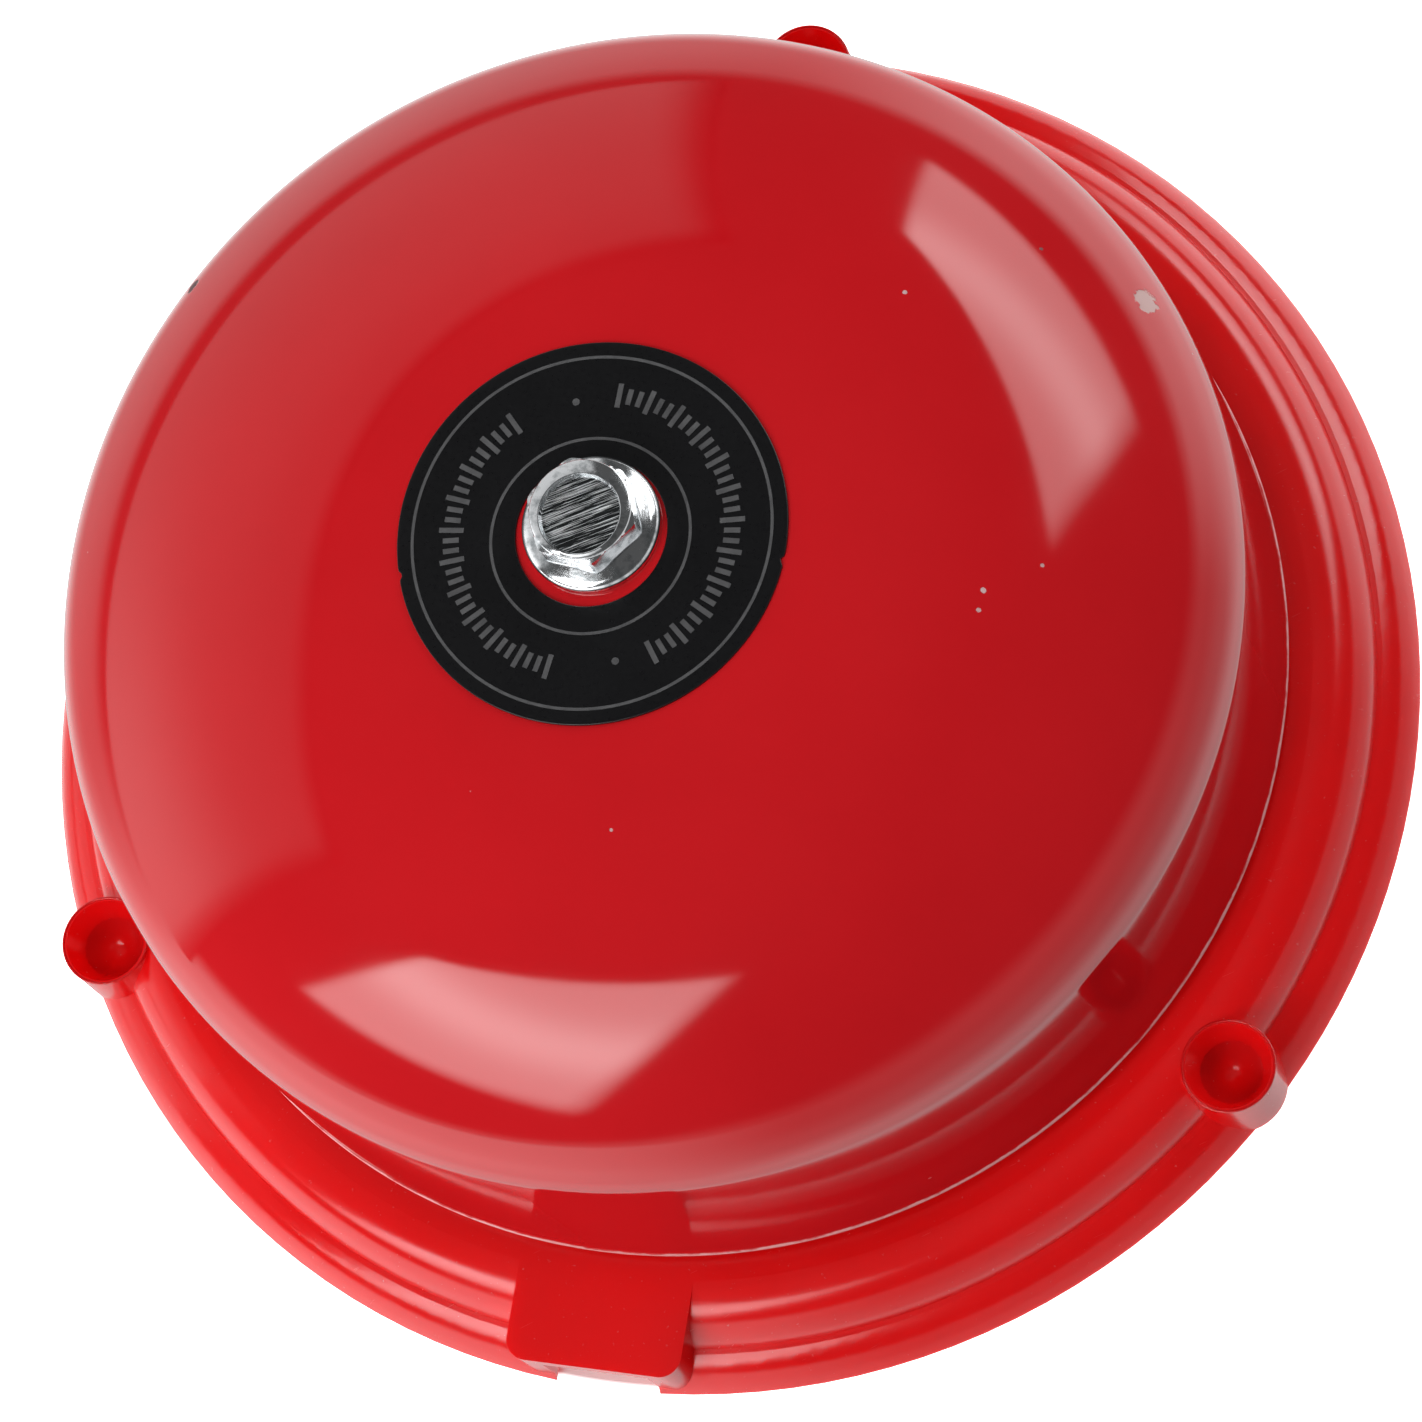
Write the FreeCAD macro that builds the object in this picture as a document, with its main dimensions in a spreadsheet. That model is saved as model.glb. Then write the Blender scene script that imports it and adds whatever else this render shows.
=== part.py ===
"""Fire alarm bell: a 4 inch gong over a plastic base with a motor-driven striker inside the gong.

Frame: the bell's axis is +Z, the wall plane is z = 0 and the origin is on the axis in that plane.
The cable outlet is at -Y, one screw lug is at +Y and the striker points along +X.  Millimetres.
"""
import FreeCAD, Part
import math
import os
import re

import Sketcher
from FreeCAD import Placement, Rotation, Vector

# ---------------------------------------------------------------- driving dimensions

SIZES = {
    # base housing: a stepped dish with a tower in its middle
    "base_radius": 60.0,
    "lip_radius": 59.05,
    "lip_height": 2.05,
    "lip_roll": 4.9,
    "crease_radius": 56.7,
    "crease_height": 2.9,
    "riser_radius": 55.66,
    "plateau_height": 6.8,
    "plateau_roll": 5.1,
    "plastic_wall": 2.0,
    "lip_wall": 1.6,
    "tower_foot_radius": 34.0,
    "tower_top_radius": 33.4,
    "tower_height": 32.0,
    "tower_fillet": 2.5,
    "tower_foot_fillet": 1.6,
    "ring_end_height": 3.0,
    "cut_margin": 1.0,
    "post_radius": 6.5,
    "post_height": 43.5,
    "post_fillet": 3.0,
    # screw lugs
    "lug_circle_radius": 56.5,
    "lug_radius": 4.1,
    "lug_taper": 2.0,
    "lug_hole_radius": 1.8,
    "lug_recess_radius": 3.55,
    "lug_recess_depth": 4.0,
    "lug_recess_taper": 23.6,
    # cable boss at -Y
    "boss_width": 15.0,
    "boss_face": 59.4,
    "boss_root": 50.0,
    "boss_corner": 1.8,
    "cable_width": 9.0,
    "cable_height": 5.2,
    "lead_way_reach": 4.0,
    # ribs under the dish
    "rib_thickness": 1.2,
    "rib_inner_radius": 36.5,
    "rib_outer_radius": 54.5,
    "rib_clearance": 0.6,
    "rib_overlap": 0.2,
    # fastening points inside the tower
    "pillar_circle_radius": 27.5,
    "pillar_radius": 3.4,
    "chassis_screw_radius": 1.45,
    "cover_boss_circle_radius": 29.2,
    "cover_boss_radius": 3.2,
    "cover_boss_height": 12.0,
    "cover_screw_radius": 1.45,
    "cover_hole_floor": 1.0,
    "screw_hole_radius": 1.5,
    "screw_hole_depth": 9.0,
    "screw_head_radius": 2.6,
    "screw_head_height": 1.7,
    "screw_length": 8.0,
    "screw_slot_width": 0.6,
    "screw_slot_depth": 0.7,
    # gong
    "gong_radius": 50.0,
    "gong_thickness": 1.2,
    "gong_rim_height": 8.2,
    "gong_top_height": 46.7,
    "gong_shoulder_radius": 8.0,
    "gong_dome_radius": 45.8,
    "gong_skirt_lean": 2.2,
    "gong_flat_radius": 15.9,
    "gong_hole_radius": 2.75,
    "gong_rim_fillet": 0.45,
    # label on the gong
    "label_radius": 15.7,
    "label_hole_radius": 6.1,
    "label_thickness": 0.25,
    # gong bolt and its stack
    "bolt_flange_radius": 5.5,
    "bolt_flange_height": 1.4,
    "bolt_cone_height": 0.8,
    "bolt_cone_top_radius": 4.3,
    "bolt_across_flats": 8.0,
    "bolt_turn": -9.0,
    "bolt_head_height": 4.5,
    "bolt_chamfer_radius": 3.8,
    "bolt_chamfer_angle": 30.0,
    "bolt_recess_radius": 3.4,
    "bolt_recess_depth": 0.6,
    "bolt_shank_radius": 2.45,
    "bolt_length": 9.5,
    "insert_radius": 4.0,
    "insert_bore_radius": 2.5,
    "insert_length": 8.0,
    "spacer_radius": 6.0,
    "spacer_height": 1.0,
    "fibre_radius": 6.4,
    # chassis plate
    "chassis_radius": 31.0,
    "chassis_height": 15.6,
    "sheet_thickness": 1.2,
    "ear_face": 23.5,
    "ear_half_width": 5.0,
    "ear_top": 28.4,
    # motor
    "motor_radius": 12.2,
    "motor_bottom": 3.6,
    "cap_height": 1.6,
    "can_wall": 0.8,
    "nose_radius": 3.0,
    "nose_height": 1.0,
    "nose_clearance": 0.15,
    "shaft_radius": 1.0,
    "shaft_bottom": 4.2,
    "shaft_top": 21.5,
    "bearing_clearance": 0.03,
    "bearing_radius": 2.2,
    "bearing_floor": 0.5,
    "magnet_inner_radius": 8.7,
    "magnet_bottom": 6.4,
    "magnet_length": 7.6,
    "magnet_gap_width": 10.0,
    "core_radius": 8.1,
    "core_bottom": 8.2,
    "core_length": 4.6,
    "pole_neck_width": 2.6,
    "pole_shoe_thickness": 1.4,
    "pole_gap_width": 2.4,
    "hub_radius": 2.8,
    "coil_overhang": 1.2,
    "coil_thickness": 1.6,
    "coil_hub_gap": 0.3,
    "coil_shoe_gap": 0.9,
    "coil_side_gap": 0.3,
    "commutator_radius": 2.3,
    "commutator_bottom": 5.5,
    "commutator_length": 1.2,
    "commutator_slit_width": 0.3,
    "commutator_floor": 0.4,
    "brush_gap": 0.1,
    "brush_length": 1.4,
    "brush_half_width": 0.8,
    "leaf_thickness": 0.3,
    "leaf_start": 1.0,
    "leaf_end": 7.0,
    "motor_screw_circle": 8.0,
    "motor_screw_radius": 0.95,
    "motor_screw_head_radius": 1.9,
    "motor_screw_length": 2.8,
    "motor_screw_clearance": 0.1,
    "motor_screw_seat_angle": 36.0,
    "motor_screw_slot_width": 0.4,
    "motor_screw_slot_depth": 0.4,
    "tab_width": 2.2,
    "tab_thickness": 0.5,
    "tab_height": 4.3,
    "tab_end": 15.6,
    "tab_spacing": 10.0,
    # striker drive
    "striker_axis_height": 24.3,
    "striker_travel": 4.0,
    "cam_lift_angle": 300.0,
    "cam_lead_angle": 10.0,
    "cam_bottom": 17.8,
    "cam_thickness": 3.4,
    "cam_hub_radius": 3.0,
    "cam_hub_height": 0.4,
    "cam_gap": 0.1,
    "roller_radius": 2.3,
    "roller_bottom": 18.0,
    "roller_height": 3.0,
    "roller_clearance": 0.05,
    "follower_reach": 7.0,
    "pin_radius": 0.8,
    "pin_head_radius": 1.5,
    "pin_head_height": 0.45,
    "pin_head_gap": 0.1,
    "pin_embed": 3.0,
    "slider_rear": 13.0,
    "slider_front": 19.5,
    "slider_half_width": 4.5,
    "slider_bottom": 22.0,
    "slider_top": 26.6,
    "slider_corner": 1.0,
    "slider_relief_floor": 24.0,
    "slider_relief_rear": 4.0,
    "slider_relief_front": 11.5,
    "slider_relief_half_width": 3.1,
    "rod_radius": 2.0,
    "rod_root": 13.5,
    "rod_tip": 42.2,
    "tip_rear": 39.6,
    "tip_front": 47.6,
    "tip_radius": 3.5,
    "tip_nose_radius": 5.0,
    "bush_clearance": 0.05,
    "bush_radius": 3.5,
    "bush_inner_face": 30.4,
    "bush_flange_face": 33.75,
    "bush_flange_radius": 4.8,
    "bush_flange_thickness": 0.8,
    "guide_rod_radius": 1.5,
    "guide_rod_root": 9.6,
    "guide_rod_end": 26.5,
    "spring_mean_radius": 2.5,
    "spring_wire_radius": 0.3,
    "spring_turns": 6.0,
    "spring_end_gap": 0.35,
    # wiring
    "block_width": 16.0,
    "block_depth": 8.0,
    "block_height": 9.0,
    "block_front": 20.0,
    "block_pitch": 8.0,
    "block_entry_radius": 1.6,
    "block_entry_height": 9.2,
    "block_screw_radius": 1.5,
    "block_screw_clearance": 0.25,
    "block_screw_foot": 7.2,
    "block_screw_slot_width": 0.5,
    "block_screw_slot_depth": 0.6,
    "block_well_floor": 6.0,
    "lead_radius": 0.7,
    "lead_gap": 0.05,
    "diode_radius": 1.35,
    "diode_length": 5.2,
    "capacitor_radius": 3.4,
    "capacitor_thickness": 2.4,
    "capacitor_standoff": 0.8,
    "capacitor_lift": 1.6,
    "leg_radius": 0.3,
    "leg_length": 3.4,
    # back cover
    "cover_radius": 33.6,
    "cover_bottom": 2.0,
    "cover_thickness": 1.0,
    "cover_notch_depth": 4.6,
}

LUG_ANGLES = (90.0, 210.0, 330.0)
PILLAR_ANGLES = (45.0, 135.0, 225.0, 315.0)
RIB_ANGLES = (0.0, 30.0, 60.0, 120.0, 150.0, 180.0, 240.0, 300.0)
POLE_ANGLES = (90.0, 210.0, 330.0)
POLE_HALF_PITCH = 60.0
MOTOR_SCREW_ANGLES = (90, 270)
CAM_STEPS = 24
LEAD_FROM_TAB = ((0.0, 14.4, 0.0), (4.5, 17.2, 0.0), (9.5, 13.5, 0.8))
LEAD_ROUND_MOTOR = ((17.6, 6.5, 6.8), (17.6, -5.5, 7.0), (14.2, -12.5, 7.6))
LEAD_TURN_IN = (8.2, -16.6)
LEAD_END_Y = -20.5
WIRE_VOLUME_TOLERANCE = 0.02
RING_TOLERANCE = 0.02

doc = FreeCAD.newDocument("fire_alarm_bell")
sheet = doc.addObject("Spreadsheet::Sheet", "sizes")
nodes = []


def fill_sheet():
    for row, (alias, value) in enumerate(SIZES.items(), start=1):
        sheet.set(f"A{row}", alias)
        sheet.set(f"B{row}", str(value))
        sheet.setAlias(f"B{row}", alias)
    doc.recompute()


def bound(expression):
    """The same expression with each dimension's name pointing at its cell."""
    return re.sub(r"[a-z_]{3,}", lambda m: f"sizes.{m[0]}" if m[0] in SIZES else m[0], str(expression))


def size(expression):
    """The value of an expression of dimensions, in millimetres."""
    value = sheet.evalExpression(bound(expression))
    return float(getattr(value, "Value", value))


def bind(target, prop, expression):
    target.setExpression(prop, bound(expression))


def finish_node(thing, name):
    thing.Label = name
    nodes.append(thing)
    return thing


# ---------------------------------------------------------------- sketches and bodies

def new_body(name):
    body = doc.addObject("PartDesign::Body", name)
    return finish_node(body, name)


def new_sketch(body, name, role="XY_Plane", height="0"):
    """An empty sketch on one of the body's origin planes, raised by height along its normal."""
    sketch = body.newObject("Sketcher::SketchObject", name)
    plane = [f for f in body.Origin.OriginFeatures if f.Role == role][0]
    sketch.AttachmentSupport = [(plane, "")]
    sketch.MapMode = "FlatFace"
    bind(sketch, "AttachmentOffset.Base.z", height)
    return sketch


def pin_point(sketch, geometry, point, x, y):
    """Ties a sketch point to a place given by two expressions."""
    for kind, axis, expression in (("DistanceX", -2, x), ("DistanceY", -1, y)):
        if abs(size(expression)) < 1e-9:
            sketch.addConstraint(Sketcher.Constraint("PointOnObject", geometry, point, axis))
            continue
        label = f"{kind}_{geometry}_{point}"
        number = sketch.addConstraint(
            Sketcher.Constraint(kind, -1, 1, geometry, point, size(expression)))
        sketch.renameConstraint(number, label)
        bind(sketch, f"Constraints.{label}", expression)


def add_polygon(sketch, corners):
    """A closed outline of straight sides through corners given as pairs of expressions."""
    first = sketch.GeometryCount
    points = [Vector(size(x), size(y), 0) for x, y in corners]
    for start, end in zip(points, points[1:] + points[:1]):
        sketch.addGeometry(Part.LineSegment(start, end), False)
    for number, (x, y) in enumerate(corners):
        previous = first + (number - 1) % len(corners)
        sketch.addConstraint(Sketcher.Constraint("Coincident", previous, 2, first + number, 1))
        pin_point(sketch, first + number, 1, x, y)


def add_circle(sketch, x, y, radius):
    circle = Part.Circle(Vector(size(x), size(y), 0), Vector(0, 0, 1), size(radius))
    number = sketch.addGeometry(circle, False)
    pin_point(sketch, number, 3, x, y)
    constraint = sketch.addConstraint(Sketcher.Constraint("Radius", number, size(radius)))
    sketch.renameConstraint(constraint, f"Radius_{number}")
    bind(sketch, f"Constraints.Radius_{number}", radius)


def add_circles_at(sketch, circle_radius, angles, radius):
    """One circle at each angle, in degrees, on a circle about the origin."""
    for angle in angles:
        add_circle(sketch, f"{circle_radius} * cos({angle} deg)", f"{circle_radius} * sin({angle} deg)",
                   radius)


def rectangle(half_width, low, high):
    return [(f"-({half_width})", low), (half_width, low), (half_width, high), (f"-({half_width})", high)]


def revolve(body, sketch, kind="PartDesign::Revolution"):
    feature = body.newObject(kind, sketch.Name + "_turned")
    feature.Profile = sketch
    feature.ReferenceAxis = (sketch, ["V_Axis"])
    feature.Angle = 360.0
    doc.recompute()
    return feature


def pad(body, sketch, length, taper="0", reverse=False):
    feature = body.newObject("PartDesign::Pad", sketch.Name + "_pad")
    feature.Profile = sketch
    bind(feature, "Length", length)
    bind(feature, "TaperAngle", taper)
    feature.Reversed = reverse
    doc.recompute()
    return feature


def pocket(body, sketch, length, taper="0", reverse=False):
    """Cuts from the sketch against its normal, or along it when reversed, and must remove material."""
    before = body.Shape.Volume
    feature = body.newObject("PartDesign::Pocket", sketch.Name + "_pocket")
    feature.Profile = sketch
    bind(feature, "Length", length)
    bind(feature, "TaperAngle", taper)
    feature.Reversed = reverse
    doc.recompute()
    if not body.Shape.Volume < before - 1e-3:
        raise RuntimeError(f"{feature.Name} cut nothing")
    return feature


def round_rings(body, rings):
    """Fillets circular edges about the Z axis: rings are (radius, height, fillet) expressions."""
    for radius, height, fillet in rings:
        base = body.Tip
        names = []
        for number, edge in enumerate(base.Shape.Edges, start=1):
            if not isinstance(edge.Curve, Part.Circle):
                continue
            same_size = abs(edge.Curve.Radius - size(radius)) < RING_TOLERANCE
            same_place = abs(edge.Curve.Center.z - size(height)) < RING_TOLERANCE
            if same_size and same_place:
                names.append(f"Edge{number}")
        feature = body.newObject("PartDesign::Fillet", f"{body.Name}_fillet")
        feature.Base = (base, names)
        bind(feature, "Radius", fillet)
        doc.recompute()


def round_edges(body, chosen, fillet):
    """Fillets the edges for which chosen(edge) is true."""
    base = body.Tip
    names = [f"Edge{n}" for n, edge in enumerate(base.Shape.Edges, start=1) if chosen(edge)]
    feature = body.newObject("PartDesign::Fillet", f"{body.Name}_fillet")
    feature.Base = (base, names)
    bind(feature, "Radius", fillet)
    doc.recompute()


def is_upright_at(edge, places, tolerance=0.05):
    """Whether an edge is a straight line along Z through one of the (x, y) places."""
    if not isinstance(edge.Curve, Part.Line) or abs(edge.tangentAt(edge.FirstParameter).z) < 0.99:
        return False
    middle = edge.CenterOfMass
    return any(math.hypot(middle.x - x, middle.y - y) < tolerance for x, y in places)


# ---------------------------------------------------------------- primitives and booleans

AXIS_TURNS = {
    "+Z": Rotation(),
    "+X": Rotation(Vector(0, 1, 0), 90),
    "-X": Rotation(Vector(0, 1, 0), -90),
    "+Y": Rotation(Vector(1, 0, 0), -90),
}


def place(thing, at, axis="+Z"):
    thing.Placement = Placement(Vector(), AXIS_TURNS[axis])
    for letter, expression in zip("xyz", at):
        bind(thing, f"Placement.Base.{letter}", expression)
    return thing


def cylinder(name, radius, height, at=("0", "0", "0"), axis="+Z"):
    thing = doc.addObject("Part::Cylinder", name)
    bind(thing, "Radius", radius)
    bind(thing, "Height", height)
    return place(thing, at, axis)


def cone(name, bottom_radius, top_radius, height, at=("0", "0", "0"), axis="+Z"):
    thing = doc.addObject("Part::Cone", name)
    bind(thing, "Radius1", bottom_radius)
    bind(thing, "Radius2", top_radius)
    bind(thing, "Height", height)
    return place(thing, at, axis)


def box(name, low, high):
    """A box between two corners given as expressions."""
    thing = doc.addObject("Part::Box", name)
    for prop, start, end in zip(("Length", "Width", "Height"), low, high):
        bind(thing, prop, f"({end}) - ({start})")
    return place(thing, low)


def joined(name, *parts):
    thing = doc.addObject("Part::MultiFuse", name)
    thing.Shapes = list(parts)
    thing.Refine = True
    return thing


def group(name, *parts):
    """Separate solids kept together under one name."""
    thing = doc.addObject("Part::Compound", name)
    thing.Links = list(parts)
    return thing


def without(name, base, *tools):
    thing = doc.addObject("Part::Cut", name)
    thing.Base = base
    thing.Tool = tools[0] if len(tools) == 1 else joined(name + "_tools", *tools)
    thing.Refine = True
    return thing


def overlap(name, first, second):
    thing = doc.addObject("Part::Common", name)
    thing.Base = first
    thing.Tool = second
    return thing


def tube(name, outer, inner, height, at, axis="+Z"):
    return without(name, cylinder(name + "_outer", outer, height, at, axis),
                   cylinder(name + "_inner", inner, height, at, axis))


def around(radius, angle):
    """The x and y expressions of a point on a circle about the bell's axis."""
    return f"{radius} * cos({angle} deg)", f"{radius} * sin({angle} deg)"


# ---------------------------------------------------------------- base housing

def make_base_housing():
    """The moulded dish, its tower and its gong post, open at the back."""
    body = new_body("base_housing")
    outside = new_sketch(body, "dish_outside", "XZ_Plane")
    add_polygon(outside, [
        ("0", "0"), ("base_radius", "0"), ("lip_radius", "lip_height"),
        ("crease_radius", "crease_height"), ("riser_radius", "plateau_height"),
        ("tower_foot_radius", "plateau_height"), ("tower_top_radius", "tower_height"),
        ("post_radius", "tower_height"), ("post_radius", "post_height"), ("0", "post_height"),
    ])
    revolve(body, outside)
    round_rings(body, [
        ("lip_radius", "lip_height", "lip_roll"),
        ("riser_radius", "plateau_height", "plateau_roll"),
        ("tower_foot_radius", "plateau_height", "tower_foot_fillet"),
        ("tower_top_radius", "tower_height", "tower_fillet"),
        ("post_radius", "tower_height", "post_fillet"),
    ])
    hollow = new_sketch(body, "dish_inside", "XZ_Plane")
    add_polygon(hollow, [
        ("0", "0"), ("base_radius - plastic_wall - lip_wall / 4", "0"),
        ("crease_radius - plastic_wall", "crease_height - lip_wall"),
        ("riser_radius - plastic_wall", "plateau_height - plastic_wall"),
        ("tower_foot_radius", "plateau_height - plastic_wall"),
        ("tower_foot_radius", "ring_end_height"),
        ("tower_foot_radius - plastic_wall", "ring_end_height"),
        ("tower_top_radius - plastic_wall", "tower_height - plastic_wall"),
        ("0", "tower_height - plastic_wall"),
    ])
    revolve(body, hollow, "PartDesign::Groove")
    add_lugs(body)
    add_cable_boss(body)
    add_inner_supports(body)
    cut_housing_holes(body)


def add_lugs(body):
    lugs = new_sketch(body, "lugs")
    add_circles_at(lugs, "lug_circle_radius", LUG_ANGLES, "lug_radius")
    pad(body, lugs, "plateau_height", "-lug_taper")


def add_cable_boss(body):
    """The flat-faced block over the cable outlet, level with the plateau."""
    boss = new_sketch(body, "cable_boss")
    add_polygon(boss, rectangle("boss_width / 2", "-boss_face", "-boss_root"))
    pad(body, boss, "plateau_height")
    corners = [(sign * size("boss_width") / 2, -size("boss_face")) for sign in (-1, 1)]
    round_edges(body, lambda edge: is_upright_at(edge, corners), "boss_corner")


def add_inner_supports(body):
    """Ribs under the dish, pillars for the chassis and bosses for the back cover."""
    ribs = new_sketch(body, "ribs", "XY_Plane", "rib_clearance")
    for angle in RIB_ANGLES:
        corners = []
        for radius, side in (("rib_inner_radius", -1), ("rib_outer_radius", -1),
                             ("rib_outer_radius", 1), ("rib_inner_radius", 1)):
            corners.append((
                f"{radius} * cos({angle} deg) - {side} * rib_thickness / 2 * sin({angle} deg)",
                f"{radius} * sin({angle} deg) + {side} * rib_thickness / 2 * cos({angle} deg)"))
        add_polygon(ribs, corners)
    pad(body, ribs, "plateau_height - plastic_wall - rib_clearance + rib_overlap")
    pillars = new_sketch(body, "pillars", "XY_Plane", "chassis_height + sheet_thickness")
    add_circles_at(pillars, "pillar_circle_radius", PILLAR_ANGLES, "pillar_radius")
    pad(body, pillars, "tower_height - plastic_wall / 2 - chassis_height - sheet_thickness")
    bosses = new_sketch(body, "cover_bosses", "XY_Plane", "ring_end_height")
    add_circles_at(bosses, "cover_boss_circle_radius", LUG_ANGLES, "cover_boss_radius")
    pad(body, bosses, "cover_boss_height - ring_end_height")


def cut_housing_holes(body):
    lug_holes = new_sketch(body, "lug_holes")
    add_circles_at(lug_holes, "lug_circle_radius", LUG_ANGLES, "lug_hole_radius")
    pocket(body, lug_holes, "plateau_height", reverse=True)
    recesses = new_sketch(body, "lug_recesses", "XY_Plane", "plateau_height")
    add_circles_at(recesses, "lug_circle_radius", LUG_ANGLES, "lug_recess_radius")
    pocket(body, recesses, "lug_recess_depth", "-lug_recess_taper")
    outlet = new_sketch(body, "cable_outlet")
    add_polygon(outlet, rectangle("cable_width / 2", "-base_radius - cut_margin",
                                  "-boss_root + cut_margin"))
    pocket(body, outlet, "cable_height", reverse=True)
    lead_way = new_sketch(body, "lead_way")
    add_polygon(lead_way, rectangle("cable_width / 2", "-tower_foot_radius - cut_margin",
                                    "-tower_foot_radius + lead_way_reach"))
    pocket(body, lead_way, "plateau_height - plastic_wall", reverse=True)
    screw_holes = new_sketch(body, "chassis_screw_holes", "XY_Plane", "chassis_height")
    add_circles_at(screw_holes, "pillar_circle_radius", PILLAR_ANGLES, "screw_hole_radius")
    pocket(body, screw_holes, "screw_hole_depth", reverse=True)
    cover_holes = new_sketch(body, "cover_screw_holes")
    add_circles_at(cover_holes, "cover_boss_circle_radius", LUG_ANGLES, "screw_hole_radius")
    pocket(body, cover_holes, "cover_boss_height - cover_hole_floor", reverse=True)
    insert_bore = new_sketch(body, "insert_bore", "XY_Plane", "post_height")
    add_circle(insert_bore, "0", "0", "insert_radius")
    pocket(body, insert_bore, "insert_length")
    striker_hole = new_sketch(body, "striker_hole", "YZ_Plane")
    add_circle(striker_hole, "0", "striker_axis_height", "bush_radius")
    pocket(body, striker_hole, "base_radius", reverse=True)


# ---------------------------------------------------------------- gong, label and bolt

def bell_outline(sketch, inset, rim_height):
    """The gong's meridian moved inwards by inset: leaning skirt, shoulder arc, dome arc and flat top."""
    skirt_x = (f"gong_radius + (gong_rim_height - ({rim_height})) * tan(gong_skirt_lean)"
               f" - {inset} / cos(gong_skirt_lean)")
    top_y = f"gong_top_height - {inset}"
    shoulder_r = f"gong_shoulder_radius - {inset}"
    dome_r = f"gong_dome_radius - {inset}"
    skirt, top, rim = size(skirt_x), size(top_y), size(rim_height)
    shoulder, dome, flat = size(shoulder_r), size(dome_r), size("gong_flat_radius")
    lean = math.radians(size("gong_skirt_lean"))
    dome_centre = Vector(flat, top - dome, 0)
    outwards = Vector(math.cos(lean), math.sin(lean), 0)
    room = (Vector(skirt, rim, 0) - dome_centre).dot(outwards)
    turn = lean + math.acos((room - shoulder) / (dome - shoulder))
    shoulder_centre = dome_centre + Vector(math.cos(turn), math.sin(turn), 0) * (dome - shoulder)
    skirt_top = shoulder_centre + outwards * shoulder
    up = Vector(0, 0, 1)
    bottom = sketch.addGeometry(Part.LineSegment(Vector(0, rim, 0), Vector(skirt, rim, 0)), False)
    side = sketch.addGeometry(Part.LineSegment(Vector(skirt, rim, 0), skirt_top), False)
    lower = sketch.addGeometry(
        Part.ArcOfCircle(Part.Circle(shoulder_centre, up, shoulder), lean, turn), False)
    upper = sketch.addGeometry(
        Part.ArcOfCircle(Part.Circle(dome_centre, up, dome), turn, math.pi / 2), False)
    flat_top = sketch.addGeometry(Part.LineSegment(Vector(flat, top, 0), Vector(0, top, 0)), False)
    centre = sketch.addGeometry(Part.LineSegment(Vector(0, top, 0), Vector(0, rim, 0)), False)
    for kind, *ends in (
            ("Coincident", bottom, 2, side, 1), ("Tangent", side, 2, lower, 1),
            ("Tangent", lower, 2, upper, 1), ("Tangent", upper, 2, flat_top, 1),
            ("Coincident", flat_top, 2, centre, 1), ("Coincident", centre, 2, bottom, 1),
            ("PointOnObject", bottom, 1, -2), ("PointOnObject", centre, 1, -2),
            ("Horizontal", bottom), ("Horizontal", flat_top)):
        sketch.addConstraint(Sketcher.Constraint(kind, *ends))
    for label, expression, *place_of in (
            ("DistanceX", skirt_x, -1, 1, side, 1), ("DistanceY", rim_height, -1, 1, bottom, 2),
            ("DistanceY", top_y, -1, 1, flat_top, 2), ("DistanceX", "gong_flat_radius", -1, 1, upper, 2),
            ("Radius", shoulder_r, lower), ("Radius", dome_r, upper),
            ("Angle", "(90 + gong_skirt_lean) * 1 deg", side)):
        value = math.radians(size(expression)) if label == "Angle" else size(expression)
        number = sketch.addConstraint(Sketcher.Constraint(label, *place_of, value))
        sketch.renameConstraint(number, f"{label}_{number}")
        bind(sketch, f"Constraints.{label}_{number}", expression)


def make_gong():
    """The pressed steel gong: an even-walled cup with a bolt hole and a rounded rim."""
    body = new_body("gong")
    outside = new_sketch(body, "gong_outside", "XZ_Plane")
    bell_outline(outside, "0", "gong_rim_height")
    revolve(body, outside)
    inside = new_sketch(body, "gong_inside", "XZ_Plane")
    bell_outline(inside, "gong_thickness", "gong_rim_height - gong_thickness")
    revolve(body, inside, "PartDesign::Groove")
    bolt_hole = new_sketch(body, "gong_bolt_hole", "XY_Plane", "gong_top_height")
    add_circle(bolt_hole, "0", "0", "gong_hole_radius")
    pocket(body, bolt_hole, "2 * gong_thickness")
    round_rings(body, [
        ("gong_radius", "gong_rim_height", "gong_rim_fillet"),
        ("gong_radius - gong_thickness / cos(gong_skirt_lean)", "gong_rim_height", "gong_rim_fillet"),
    ])


def make_gong_label():
    """The thin round label stuck to the gong's flat top."""
    body = new_body("gong_label")
    ring = new_sketch(body, "label_ring", "XY_Plane", "gong_top_height")
    add_circle(ring, "0", "0", "label_radius")
    add_circle(ring, "0", "0", "label_hole_radius")
    pad(body, ring, "label_thickness")


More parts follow.
